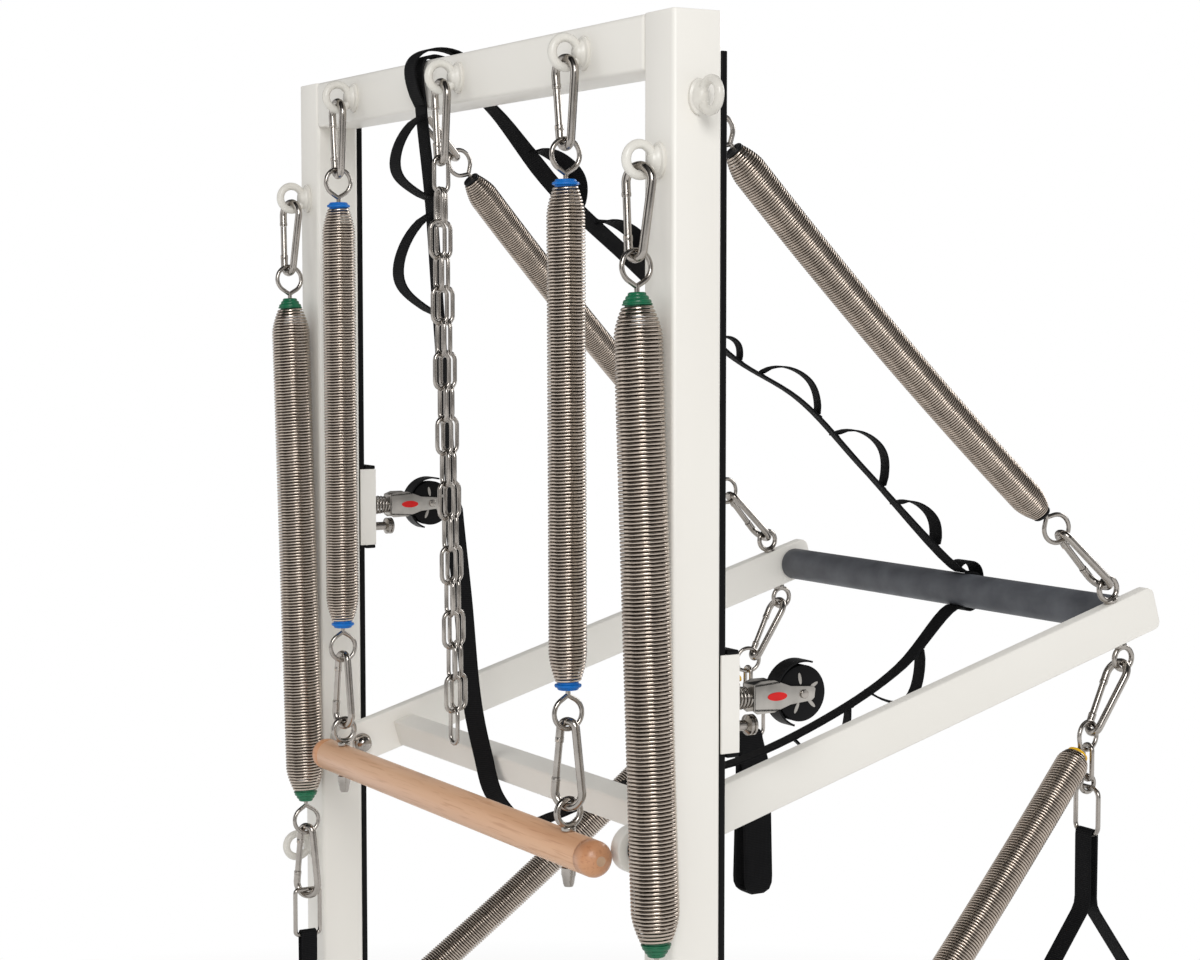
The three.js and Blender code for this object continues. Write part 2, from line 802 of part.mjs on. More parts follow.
addPart('roll_down_bar', cut(rollBody, ...rollHoles), beech);
for (const [name, sign] of bluePairs) {
  const x = rollBarAside + sign * rollEyeX;
  const ringCentre = vec(x, frontPlane, level(rollRingDrop));
  const barTop = level(rollBarDrop) + rollBarRadius + fitGap;
  const barFoot = level(rollBarDrop) - rollBarRadius - fitGap;
  const eye = ring(ringCentre, Y, Z, rollEyeRingRadius, rollEyeRodRadius, springEyeSteps);
  const at = (z) => vec(x, frontPlane, z);
  const collar = rod(at(barTop), at(barTop + rollCollarHeight), barEyeCollarRadius);
  const shank = rod(at(barTop + weldBite), at(barFoot - weldBite), rollShankRadius);
  const nut = turned(vec(x, frontPlane, barFoot), down, [
    [0, 0],
    [rollNutRadius, 0],
    [rollNutRadius, rollNutHeight * rollNutHexShare],
    [rollNutRadius * rollNutTipShare, rollNutHeight],
    [0, rollNutHeight],
  ], smallRoundSides);
  addPart(`${name}_roll_bar_eye_bolt`, join(eye, collar, shank, nut), steel);
}

// green springs hang from the uprights, leaning a little, with a D ring and a strap handle below
const greenHookDrop = greenEyeDrop + hookSeat;
const greenFootDrop = greenEndDrop + eyeSpan - seat + hookSpan;
const greenPlane = -greenRadius - bearGap;
const greenTilt = Math.asin((greenPlane + eyeReach) / (hookSpan - seat));
for (const [name, sign] of [['left', -1], ['right', 1]]) {
  const start = vec(sign * greenTopX, -eyeReach, level(greenHookDrop));
  const end = vec(sign * greenTopX + greenLean, greenPlane, level(greenFootDrop));
  const upper = vec(0, Math.sin(greenTilt), -Math.cos(greenTilt));
  springLine(`${name}_green`, start, end, Y, greenRadius, 0, { upper, lower: Z.clone() });
  const ringStart = along(end, Z, hookRodRadius + smallRodRadius + bearGap);
  addPart(`${name}_green_ring`, wireFrame(ringStart, down, Y, greenRingLength, greenRingWidth), steel);
  const rodMiddle = along(ringStart, down, greenRingLength);
  const greenWeb = greenRingWidth - wireCorner * 2 - webThickness;
  const band = webLoop(
    rodMiddle, Y, greenWeb, webThickness, greenStrapDrop, greenHandleDrop, greenHandleWidth,
  );
  const grip = gripRod(rodMiddle, X, greenHandleDrop, greenHandleWidth);
  addPart(`${name}_green_handle`, join(band, grip), black);
}

// Webbing laid over a rod, its two legs apart at the foot; the width lies along the rod.
function webLoop(rodMiddle, rodDirection, width, thickness, split, drop, spread) {
  const wrap = smallRodRadius + thickness / 2 + bearGap;
  const side = rodDirection.clone().cross(Z);
  const corner = wrap * wrapTopShare;
  const outline = [
    [0, corner],
    [corner * wrapSideShare, corner * wrapShoulderShare],
    [corner, 0],
    [wrap, -split],
    [spread / 2, -drop + spread * cornerShare],
    [spread * (half - cornerShare * half), -drop],
  ];
  const mirrored = outline.slice(1).reverse().map(([u, z]) => [-u, z]);
  const points = [...outline, ...mirrored].map(([u, z]) => along(along(rodMiddle, side, u), Z, z));
  return sweep(points, boxSection(width, thickness, 0, 0), { closed: true, across: rodDirection });
}

function gripRod(rodMiddle, side, drop, spread) {
  const foot = along(rodMiddle, down, drop - webThickness - weldBite);
  const reach = spread * (half - cornerShare * half);
  return rod(along(foot, side, -reach), along(foot, side, reach), gripRadius, smallRoundSides);
}

// black springs hold the push-through bar up
for (const [name, sign] of [['left', -1], ['right', 1]]) {
  const upperEye = vec(sign * blackEyeX, tubeSide + eyeReach, level(beamEyeDrop));
  const lowerEye = onBar(sign * armMid, barEyeAlong, barEyeTopRise);
  const direction = lowerEye.clone().sub(upperEye).normalize();
  const start = along(upperEye, direction, hookSeat);
  const barSeat = barEyeRingRadius - barEyeRodRadius - hookRodRadius - bearGap;
  const end = along(lowerEye, direction, -barSeat);
  springLine(`${name}_black`, start, end, barNormal, blackRadius, blackSag);
}

// yellow springs pull it back down; the handle links hang from their upper eyes
for (const [name, sign] of [['left', -1], ['right', 1]]) {
  const barEye = onBar(sign * armMid, barEyeAlong, barEyeLowRise);
  const hang = vec(0, -Math.sin(yellowHookLean), -Math.cos(yellowHookLean));
  const barSeat = barEyeRingRadius - barEyeRodRadius - hookRodRadius - bearGap;
  const hookTop = along(barEye, hang, barSeat);
  addPart(`${name}_yellow_upper_hook`, snapHook(hookTop, hang, X, true), steel);
  const sideEye = vec(sign * (halfWidth + eyeReach), tubeMid, level(yellowEyeDrop));
  const from = along(hookTop, hang, hookSpan - seat - bearGap * 2);
  const rise = from.clone().sub(sideEye).normalize();
  const eyeRod = along(sideEye, Z, eyeRingRadius);
  const end = along(eyeRod, rise, -(hookRodRadius + eyeRodRadius + bearGap));
  const direction = end.clone().sub(from).normalize();
  const back = direction.clone().negate();
  const inPlane = squared(Y, back);
  addPart(`${name}_yellow_lower_hook`, snapHook(end, back, inPlane, true), steel);
  const to = along(end, back, hookSpan - seat);
  const spring = springUnit(`${name}_yellow`, from, to, Z, X, yellowRadius, yellowSag);
  addPart(`${name}_yellow_spring`, spring, springSteel);
  const ringCentre = along(from, direction, springEyeRingRadius);
  const lowest = along(ringCentre, down, springEyeRingRadius);
  const linkTop = along(lowest, Z, wireRadius + smallRodRadius + bearGap);
  const quickRadius = quickLinkWidth / 2;
  const quickEndRadius = quickRadius - smallRodRadius * half;
  const quickLink = loop(
    linkTop, down, X, quickLinkLength, quickRadius, quickEndRadius, smallRodRadius,
  );
  const reach = smallRodRadius * 2 + bearGap;
  if (sign < 0) {
    addPart(`${name}_handle_link`, quickLink, steel);
    const frameTop = along(linkTop, down, quickLinkLength - reach);
    addPart(`${name}_handle_shackle`, wireFrame(frameTop, down, Y, footFrameLength, footFrameWidth), steel);
    const footRod = along(frameTop, down, footFrameLength);
    const footWeb = footFrameWidth - wireCorner * 2 - webThickness;
    const thick = footLoopThickness;
    const footBand = webLoop(footRod, Y, footWeb, thick, thick, footLoopDrop, footLoopSpread);
    addPart('left_foot_loop', footBand, black);
    continue;
  }
  const ringTop = along(linkTop, down, quickLinkLength - smallRodRadius * smallRingBiteShare);
  const ovalTop = along(ringTop, down, smallRingWidth - reach);
  const smallRingRadius = smallRingWidth / 2;
  const smallRingCentre = along(ringTop, down, smallRingRadius);
  const smallRing = ring(
    smallRingCentre, Y, Z, smallRingRadius, smallRodRadius, smallRoundSides, hookSides,
  );
  addPart(`${name}_handle_link`, join(quickLink, smallRing), steel);
  addPart(`${name}_handle_shackle`, wireFrame(ovalTop, down, X, ovalLinkLength, ovalLinkWidth), steel);
  const rodMiddle = along(ovalTop, down, ovalLinkLength);
  const ovalWeb = ovalLinkWidth - wireCorner * 2 - webThickness;
  const band = webLoop(rodMiddle, X, ovalWeb, webThickness, handleSplit, handleDrop, handleSpread);
  addPart('right_handle', join(band, gripRod(rodMiddle, Y, handleDrop, handleSpread)), black);
}

// Chain: two strands from one hook, fused where the links bear on each other
function chainLink(centre, direction, flat) {
  const start = along(centre, direction, -(linkLength / 2 - chainRod));
  const radius = linkWidth / 2 - chainRod;
  const span = linkLength - chainRod * 2;
  const points = loopPoints(start, direction, flat, span, radius, radius, chainEndSteps);
  const normal = direction.clone().cross(flat);
  return sweep(points, roundSection(chainRod, chainSides), { closed: true, across: normal });
}

const chainHookStart = vec(chainHookX, frontPlane, level(beamEyeDrop + hookSeat));
addPart('chain_hook', snapHook(chainHookStart, down, X, true), steel);
const bearing = linkLength - chainRod * 4 + chainBite;
const chainTop = level(beamEyeDrop + hookSeat + hookSpan) + hookRodRadius + bearGap;
let chain = null;
for (const offset of [0, 1]) {
  for (let i = offset; i < chainStrandLinks + offset; i += 1) {
    const share = i / (chainStrandLinks - 1);
    const aside = offset * strandGap * Math.min(1, i * half);
    const height = chainTop + chainRod * 2 - linkLength / 2 - i * bearing;
    const centre = vec(chainHookX + aside, frontPlane + chainLean * share - aside, height);
    const solid = toManifold(chainLink(centre, down, i % 2 ? X : Y));
    chain = chain ? chain.add(solid) : solid;
  }
}
addPart('chain', fromManifold(chain), steel);

// Daisy-chain strap
const beamTop = portalHeight + strapThickness / 2 + fitGap;
const padCentre = onBar(0, padAlong, padRise);
const wrapRadius = (padRadius + strapThickness / 2 + bearGap) * strapSlack;
const padRound = strapGripDegrees.map((degrees) => {
  const angle = THREE.MathUtils.degToRad(degrees);
  const round = vec(0, wrapRadius * Math.cos(angle), wrapRadius * Math.sin(angle));
  return vec(strapGripX, padCentre.y, padCentre.z).add(round);
});
const strapRoute = [
  vec(-80, tubeMid, beamTop),
  vec(-82, tubeCorner, beamTop + strapThickness),
  vec(-83, -strapThickness * 2, beamTop - tubeCorner),
  vec(-83, -strapThickness, level(50)),
  vec(-79, 6, level(144)),
  vec(-76, 12, level(250)),
  vec(-73, 18, level(350)),
  vec(-70, 25, level(456)),
  vec(-67, 35, level(561)),
  vec(-64, 44, level(668)),
  vec(-59, 54, level(725)),
  vec(-52, 64, level(768)),
  vec(-38, 80, level(788)),
  vec(-20, 96, level(793)),
  vec(-3, 118, level(784)),
  vec(6, 198, level(757)),
  vec(14, 315, level(748)),
  vec(20, 444, level(706)),
  vec(26, 537, level(656)),
  ...padRound,
  vec(8, 499, level(435)),
  vec(-4, 419, level(356)),
  vec(-15, 334, level(306)),
  vec(-34, 227, level(209)),
  vec(-52, 142, level(132)),
  vec(-66, 84, level(60)),
  vec(-74, tubeSide + strapThickness * 2, level(25)),
  vec(-78, tubeSide + strapThickness * 2, beamTop - tubeCorner),
  vec(-79, tubeSide - tubeCorner, beamTop + strapThickness),
];
const strapCurve = new THREE.CatmullRomCurve3(strapRoute, true, 'centripetal');
const strapSteps = strapRoute.length * 2;
const strapPoints = Array.from({ length: strapSteps }, (_, i) => strapCurve.getPoint(i / strapSteps));
let strap = toManifold(sweep(
  strapPoints, boxSection(strapWidth, strapThickness, 0, 0), { closed: true, across: X },
));
const strapLength = strapCurve.getLength();
const beltMid = vec(0, strapMiddleDepth, level(strapMiddleDrop));
for (const [startShare, endShare, bulgeShare] of strapLoopShares) {
  const a = strapCurve.getPointAt(startShare);
  const b = strapCurve.getPointAt(endShare % 1);
  const chord = b.clone().sub(a);
  const middle = a.clone().add(b).multiplyScalar(half);
  const away = middle.clone().sub(beltMid);
  away.x = 0;
  away.addScaledVector(chord, -away.dot(chord) / chord.lengthSq()).normalize();
  const points = Array.from({ length: loopSteps + 1 }, (_, i) => {
    const t = i / loopSteps;
    const bulge = Math.sin(t * Math.PI) * chord.length() * bulgeShare;
    return along(along(a, chord, t), away, bulge);
  });
  strap = strap.add(toManifold(sweep(points, boxSection(strapWidth, strapThickness, 0, 0), { across: X })));
}
addPart('daisy_chain_strap', fromManifold(strap), black);

// Carriages, pull pins and pulleys
for (const [name, sign, drop] of [['left', -1, leftCarriageDrop], ['right', 1, rightCarriageDrop]]) {
  const x = sign * (halfWidth - tubeMid);
  const trackFace = tubeSide + fitGap + trackDepth;
  const blockY = trackFace + fitGap + carriageDepth / 2;
  const top = level(drop - carriageLength / 2);
  const foot = level(drop + carriageLength / 2);
  const block = box(
    vec(x, blockY, foot), vec(x, blockY, top), X, trackWidth + (fitGap + carriageLip) * 2, carriageDepth,
  );
  const lipY = tubeSide + fitGap * 2;
  const lipReach = trackWidth / 2 + fitGap + carriageLip / 2;
  const lips = [-1, 1].map((side) => box(
    vec(x + side * lipReach, (lipY + blockY) / 2, foot), vec(x + side * lipReach, (lipY + blockY) / 2, top),
    X, carriageLip, blockY - lipY,
  ));
  const pinHole = rod(
    vec(x, trackFace, level(drop - pinRise)), vec(x, blockY + carriageDepth, level(drop - pinRise)),
    pinHoleRadius,
  );
  const face = blockY + carriageDepth / 2;
  const at = (y) => vec(x, y, level(drop));
  const swivelHole = rod(
    at(face - pinDepth), at(face + weldBite), clearHole(swivelRadius, fitGap, smallRoundSides),
  );
  addPart(`${name}_carriage`, cut(join(block, ...lips), pinHole, swivelHole), ivory);

  const pinZ = level(drop - pinRise);
  const pinStart = vec(x, trackFace + fitGap * 2, pinZ);
  const pinProfile = [
    [0, 0],
    [pinRadius, 0],
    [pinRadius, carriageDepth + pinStem],
    [pinKnobRadius, carriageDepth + pinStem],
    [pinKnobRadius, carriageDepth + pinStem + pinKnobThickness],
    [0, carriageDepth + pinStem + pinKnobThickness],
  ];
  addPart(`${name}_pull_pin`, turned(pinStart, Y, pinProfile, smallRoundSides), steel);

  const axleY = face + pulleyStalk + forkLength * axleShare;
  const forkStart = face + coilLength;
  const cheeks = [-1, 1].map((side) => box(
    vec(x + side * (forkGap / 2 + forkCheek / 2), forkStart, level(drop)),
    vec(x + side * (forkGap / 2 + forkCheek / 2), forkStart + forkLength, level(drop)),
    X, forkCheek, forkHeight,
  ));
  const bridgePlate = box(
    vec(x, forkStart, level(drop)), vec(x, forkStart + forkCheek, level(drop)),
    X, forkGap + forkCheek * 2, forkHeight,
  );
  const stalk = rod(at(face - pinDepth + fitGap), at(forkStart + forkCheek), swivelRadius);
  const coilCollar = turned(vec(x, face + fitGap, level(drop)), Y, [
    [0, 0],
    [coilRadius, 0],
    [coilRadius, coilLength],
    [0, coilLength],
  ], smallRoundSides);
  const axleHalf = forkGap / 2 + forkCheek + axleOverhang;
  const axleEnd = (side, reach) => vec(x + side * reach, axleY, level(drop));
  const axle = rod(axleEnd(-1, axleHalf), axleEnd(1, axleHalf), axleRadius);
  const guardWidth = forkGap + forkCheek * 2;
  const guards = [[1, guardSweepAbove], [-1, guardSweepBelow]].map(([sense, turn]) => {
    const corner = at(forkStart + forkCheek / 2).addScaledVector(Z, sense * (forkHeight - guardThickness) / 2);
    const bend = Array.from({ length: guardSteps + 1 }, (_, i) => {
      const angle = sense * (guardStart - (i / guardSteps) * turn);
      return vec(x, axleY + guardRadius * Math.cos(angle), level(drop) + guardRadius * Math.sin(angle));
    });
    return sweep([corner, ...bend], boxSection(guardWidth, guardThickness, 0, 0), { across: X });
  });
  addPart(`${name}_pulley_fork`, join(...cheeks, bridgePlate, stalk, coilCollar, axle, ...guards), satinSteel);

  const hub = half * wheelThickness;
  const groove = wheelRadius * grooveShare;
  const wheelSolid = turned(vec(x - hub, axleY, level(drop)), X, [
    [0, 0],
    [wheelRadius, 0],
    [wheelRadius, wheelThickness * rimShare],
    [groove, wheelThickness * half],
    [wheelRadius, wheelThickness * (1 - rimShare)],
    [wheelRadius, wheelThickness],
    [0, wheelThickness],
  ], roundSides);
  const bore = clearHole(axleRadius, bearGap, smallRoundSides);
  const wheelHole = rod(axleEnd(-1, forkGap), axleEnd(1, forkGap), bore);
  addPart(`${name}_pulley_wheel`, cut(wheelSolid, wheelHole), black);
}

let triangles = 0;
tower.children.forEach((mesh) => {
  triangles += mesh.geometry.index.count / 3;
});
reports.push(`strap loop length ${strapLength.toFixed(0)} mm`);
reports.push(`${tower.children.length} pieces, ${triangles} triangles`);
console.log(reports.join('\n'));

export default tower;
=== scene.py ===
import math

import bmesh
import bpy
from mathutils import Matrix, Vector


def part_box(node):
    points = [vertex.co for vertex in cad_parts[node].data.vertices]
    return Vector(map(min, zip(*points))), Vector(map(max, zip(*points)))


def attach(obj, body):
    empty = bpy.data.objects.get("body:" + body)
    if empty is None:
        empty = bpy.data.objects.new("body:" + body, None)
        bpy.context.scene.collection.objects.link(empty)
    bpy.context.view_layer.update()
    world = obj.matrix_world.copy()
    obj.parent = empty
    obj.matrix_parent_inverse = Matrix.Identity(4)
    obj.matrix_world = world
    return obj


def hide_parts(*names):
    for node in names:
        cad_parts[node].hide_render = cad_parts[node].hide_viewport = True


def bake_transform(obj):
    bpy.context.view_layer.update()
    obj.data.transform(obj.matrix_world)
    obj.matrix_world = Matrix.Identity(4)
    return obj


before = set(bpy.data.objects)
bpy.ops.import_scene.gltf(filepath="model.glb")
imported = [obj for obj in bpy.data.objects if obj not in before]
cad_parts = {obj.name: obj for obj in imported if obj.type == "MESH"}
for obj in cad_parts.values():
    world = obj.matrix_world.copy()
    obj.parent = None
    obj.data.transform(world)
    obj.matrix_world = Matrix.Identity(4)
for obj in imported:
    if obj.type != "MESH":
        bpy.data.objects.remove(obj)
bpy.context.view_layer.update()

bpy.context.scene.view_settings.view_transform = "Standard"

MM = 0.001
TURN = 2 * math.pi
QUARTER = math.pi / 2
SAME_POINT = 1e-7

X, Y, Z = Vector((1, 0, 0)), Vector((0, 1, 0)), Vector((0, 0, 1))
FRONT, DOWN, LEFT = -Y, -Z, -X


def at(x, y, z):
    """A point in the shared frame, from millimetres."""
    return Vector((x, y, z)) * MM


def in_mm(pairs):
    """An outline or profile that is written in millimetres."""
    return [(a * MM, b * MM) for a, b in pairs]


def ease(value, start, end):
    """0 at start and before it, 1 at end and past it."""
    return min(max((value - start) / (end - start), 0), 1)


# Camera, at the photograph's place and angle
LENS, SENSOR = 71.93, 36
CAMERA_DROP, CAMERA_ROLL, CAMERA_TURN = (math.radians(d) for d in (3.894, 0.025, 60.133))
camera_data = bpy.data.cameras.new("camera")
camera_data.lens, camera_data.sensor_width, camera_data.sensor_fit = LENS, SENSOR, "HORIZONTAL"
camera = bpy.data.objects.new("camera", camera_data)
camera.location = at(2174.7, -1086.0, 1585.8)
camera.rotation_euler = (QUARTER - CAMERA_DROP, CAMERA_ROLL, CAMERA_TURN)
bpy.context.scene.collection.objects.link(camera)
bpy.context.scene.camera = camera


# Materials

def add(tree, kind, inputs=None, **settings):
    """A shader node with its settings; each input is a value or another node's output."""
    node = tree.nodes.new(f"ShaderNode{kind}")
    for name, value in settings.items():
        setattr(node, name, value)
    for socket, value in (inputs or {}).items():
        if isinstance(value, bpy.types.NodeSocket):
            tree.links.new(value, node.inputs[socket])
        else:
            node.inputs[socket].default_value = value
    return node


def new_material(name, colour, roughness, metallic=0.0, **sockets):
    """A Principled material, its tree and its shader node."""
    material = bpy.data.materials.new(name)
    material.use_nodes = True
    tree = material.node_tree
    shader = tree.nodes["Principled BSDF"]
    shader.inputs["Base Color"].default_value = (*colour, 1)
    shader.inputs["Roughness"].default_value = roughness
    shader.inputs["Metallic"].default_value = metallic
    for socket, value in sockets.items():
        shader.inputs[socket.replace("_", " ").title().replace("Ior", "IOR")].default_value = value
    return material, tree, shader


def noise(tree, scale, detail=3.0, stretch=(1, 1, 1)):
    """Noise on Object coordinates, stretched along the axes."""
    where = add(tree, "TexCoord").outputs["Object"]
    mapped = add(tree, "Mapping", {"Vector": where, "Scale": stretch}).outputs["Vector"]
    return add(tree, "TexNoise", {"Vector": mapped, "Scale": scale, "Detail": detail}).outputs["Fac"]


def spread(tree, value, low, high):
    """Turns a pattern of 0 to 1 into numbers from low to high."""
    return add(tree, "MapRange", {"Value": value, "To Min": low, "To Max": high}).outputs["Result"]


def ramp(tree, value, *stops):
    """Colours at places along a pattern."""
    node = add(tree, "ValToRGB", {"Fac": value})
    elements = node.color_ramp.elements
    while len(elements) < len(stops):
        elements.new(0.5)
    for element, (place, colour) in zip(elements, stops):
        element.position = place
        element.color = (*colour, 1)
    return node.outputs["Color"]


def mixed(tree, factor, first, second, blend="MIX"):
    """Two colours, mixed or multiplied."""
    inputs = {"Factor": factor, "A": first, "B": second}
    return add(tree, "Mix", inputs, data_type="RGBA", blend_type=blend).outputs["Result"]


def bump(tree, shader, value, height, strength):
    node = add(tree, "Bump", {"Height": value, "Distance": height, "Strength": strength})
    tree.links.new(node.outputs["Normal"], shader.inputs["Normal"])


def varied(name, tone, polish, skin, metallic=0.0, **sockets):
    """A finish that varies over the piece.

    tone is a noise's scale and detail, then stops of colour; polish a noise's scale, then the least and
    most roughness; skin a noise's scale and detail, then the bump's height in metres and its strength.
    """
    blotch, blotch_detail, *stops = tone
    patch, low, high = polish
    grain, grain_detail, height, strength = skin
    material, tree, shader = new_material(name, stops[0][1], low, metallic, **sockets)
    tree.links.new(ramp(tree, noise(tree, blotch, blotch_detail), *stops), shader.inputs["Base Color"])
    tree.links.new(spread(tree, noise(tree, patch), low, high), shader.inputs["Roughness"])
    bump(tree, shader, noise(tree, grain, grain_detail), height, strength)
    return material


def shades(colour, *shares):
    return [tuple(c * share for c in colour) for share in shares]


def steel(name, colour, low, high):
    """Stainless steel whose polish varies."""
    dark, light = shades(colour, 0.82, 1.08)
    return varied(name, (60, 3, (0.3, dark), (0.72, light)), (130, low, high), (500, 2, 0.00002, 0.25), 1.0)


def plastic(name, colour, roughness, shine=0.5):
    """Moulded plastic or rubber with a fine grain."""
    dark, light = shades(colour, 0.85, 1.1)
    return varied(
        name, (60, 3, (0.3, dark), (0.7, light)), (200, roughness - 0.06, roughness + 0.08),
        (600, 2, 0.00008, 0.4), specular_ior_level=shine,
    )


def beech_wood(name, depth):
    """Oiled beech: long grain along the bar with short dark flecks; depth below 1 is a deeper tone."""
    coat = {"coat_weight": 0.25, "coat_roughness": 0.25}
    material, tree, shader = new_material(name, (0.62, 0.36, 0.2), 0.36, **coat)
    grain = noise(tree, 26, 5, (0.06, 1, 1))
    flecks = noise(tree, 420, 2, (0.05, 1, 1))
    dark, plain, light = [(r * (1 + depth) / 2, g * depth, b * depth ** 1.5) for r, g, b in (
        (0.54, 0.282, 0.15), (0.66, 0.38, 0.22), (0.73, 0.455, 0.278),
    )]
    long_tone = ramp(tree, grain, (0.28, dark), (0.5, plain), (0.75, light))
    fleck_tone = ramp(tree, flecks, (0.56, (1, 1, 1)), (0.7, (0.80, 0.72, 0.66)))
    tree.links.new(mixed(tree, 0.8, long_tone, fleck_tone, "MULTIPLY"), shader.inputs["Base Color"])
    tree.links.new(spread(tree, grain, 0.3, 0.44), shader.inputs["Roughness"])
    bump(tree, shader, flecks, 0.0001, 0.25)
    return material


def webbing():
    """Black woven webbing: ribs across its width on the piece's own UV, in metres."""
    material, tree, shader = new_material("webbing", (0.008, 0.008, 0.009), 0.7, specular_ior_level=0.12)
    where = add(tree, "TexCoord").outputs["UV"]
    ribs = add(tree, "TexWave", {"Vector": where, "Scale": 150, "Distortion": 0.6}).outputs["Fac"]
    warp = add(tree, "TexWave", {"Vector": where, "Scale": 190}, bands_direction="Y").outputs["Fac"]
    weave = add(tree, "Math", {0: ribs, 1: warp}, operation="MULTIPLY").outputs["Value"]
    tone = ramp(tree, weave, (0.1, (0.003, 0.003, 0.0035)), (0.8, (0.012, 0.012, 0.013)))
    tree.links.new(tone, shader.inputs["Base Color"])
    tree.links.new(spread(tree, noise(tree, 80), 0.65, 0.85), shader.inputs["Roughness"])
    bump(tree, shader, weave, 0.0003, 0.7)
    return material


# warm white satin powder coat with a fine orange peel; the cast eyes have the same coat, thicker and
# glossier, in a darker tone that is painted shade
COAT = varied(
    "powder_coat", (3.0, 3, (0.3, (0.785, 0.76, 0.705)), (0.7, (0.82, 0.797, 0.745))), (40, 0.33, 0.46),
    (900, 2, 0.00006, 0.35),
)
EYE_SHADED_COAT = varied(
    "glossy_eye", (25, 3, (0.35, (0.66, 0.635, 0.58)), (0.7, (0.74, 0.72, 0.665))), (90, 0.2, 0.36),
    (160, 3, 0.0003, 0.35),
)
FITTING = steel("fitting_steel", (0.43, 0.398, 0.365), 0.13, 0.24)
SPRING_WIRE = steel("spring_wire", (0.58, 0.50, 0.43), 0.2, 0.3)
PRESSED = steel("pressed_steel", (0.50, 0.475, 0.44), 0.3, 0.42)
BEECH = beech_wood("beech", 1.0)
BEECH_END = beech_wood("beech_end", 0.72)
# dark blue-grey closed foam sleeve, with a soft leathery skin
FOAM = varied(
    "grip_foam", (30, 4, (0.3, (0.068, 0.072, 0.082)), (0.7, (0.112, 0.118, 0.132))), (70, 0.4, 0.6),
    (900, 3, 0.00015, 0.5), specular_ior_level=0.3,
)
WEBBING = webbing()
RUBBER = plastic("black_rubber", (0.006, 0.006, 0.006), 0.6, shine=0.2)
BLACK_PLASTIC = plastic("black_plastic", (0.004, 0.004, 0.0045), 0.42, shine=0.13)
RED_PLASTIC = plastic("red_plastic", (0.62, 0.008, 0.008), 0.35, shine=0.3)
WHITE_PLASTIC = plastic("white_spacer", (0.72, 0.70, 0.66), 0.35)
END_PLUG = plastic("end_plug", (0.52, 0.34, 0.22), 0.45)
CAP_COLOURS = {
    "blue": plastic("blue_cap", (0.002, 0.14, 0.50), 0.4, shine=0.3),
    "green": plastic("green_cap", (0.004, 0.12, 0.052), 0.3, shine=0.5),
    "black": plastic("black_cap", (0.006, 0.006, 0.007), 0.4, shine=0.25),
    "yellow": plastic("yellow_cap", (0.80, 0.46, 0.004), 0.4, shine=0.3),
}


# Shapes: each gives a mesh in the shared frame

def finished(shell, sharp=35):
    """Closes a shell, turns its faces out and makes a mesh of it."""
    bmesh.ops.remove_doubles(shell, verts=shell.verts, dist=SAME_POINT)
    bmesh.ops.recalc_face_normals(shell, faces=shell.faces)
    mesh = bpy.data.meshes.new("shape")
    shell.to_mesh(mesh)
    shell.free()
    mesh.shade_smooth()
    mesh.set_sharp_from_angle(angle=math.radians(sharp))
    return mesh


def rounded_edges(shell, edges, offset, segments):
    bmesh.ops.bevel(
        shell, geom=edges, offset=offset, affect="EDGES", segments=segments, profile=0.5, material=-1,
    )


def arc(centre, first, second, radius, start, sweep, steps):
    """Points of an arc in the plane of two directions, from start on."""
    return [centre + first * (radius * math.cos(a)) + second * (radius * math.sin(a))
            for a in (start + sweep * i / steps for i in range(steps + 1))]


def circle(centre, first, second, radius, steps=36):
    return arc(centre, first, second, radius, 0, TURN, steps)[:-1]


def flat_arc(x, y, radius, start, sweep, steps, height=None):
    """Points of an arc in an outline; height makes it an ellipse."""
    return [(x + radius * math.cos(a), y + (height or radius) * math.sin(a))
            for a in (start + sweep * i / steps for i in range(steps + 1))]


def wire(points, radius, closed=False, resolution=3):
    """A round rod bent along points."""
    curve = bpy.data.curves.new("wire", "CURVE")
    curve.dimensions = "3D"
    curve.bevel_depth, curve.bevel_resolution, curve.use_fill_caps = radius, resolution, not closed
    spline = curve.splines.new("POLY")
    spline.points.add(len(points) - 1)
    for spot, place in zip(spline.points, points):
        spot.co = (*place, 1)
    spline.use_cyclic_u = closed
    holder = bpy.data.objects.new("wire", curve)
    mesh = bpy.data.meshes.new_from_object(holder)
    bpy.data.objects.remove(holder)
    bpy.data.curves.remove(curve)
    shell = bmesh.new()
    shell.from_mesh(mesh)
    bpy.data.meshes.remove(mesh)
    return finished(shell, 50)


def place_on(shell, start, direction):
    """Turns what stands on Z to a direction and moves it to its start."""
    turn = Z.rotation_difference(direction).to_matrix().to_4x4()
    bmesh.ops.transform(shell, matrix=Matrix.Translation(start) @ turn, verts=shell.verts)


def turned(start, direction, profile, steps=40, sharp=35):
    """A profile of (radius, distance) pairs spun about a line from start."""
    shell = bmesh.new()
    spots = [shell.verts.new((radius, 0, distance)) for radius, distance in profile]
    edges = [shell.edges.new(pair) for pair in zip(spots, spots[1:])]
    line = spots + edges
    bmesh.ops.spin(shell, geom=line, cent=(0, 0, 0), axis=Z, angle=TURN, steps=steps, use_merge=True)
    place_on(shell, start, direction)
    return finished(shell, sharp)


def rod(start, direction, radius, length, edge, steps=40):
    """A turned rod with rounded ends."""
    corner = [(radius - edge + edge * math.sin(a), edge - edge * math.cos(a))
              for a in (math.radians(d) for d in (0, 30, 60, 90))]
    profile = [(0, 0), *corner, *[(r, length - d) for r, d in reversed(corner)], (0, length)]
    return turned(start, direction, profile, steps)


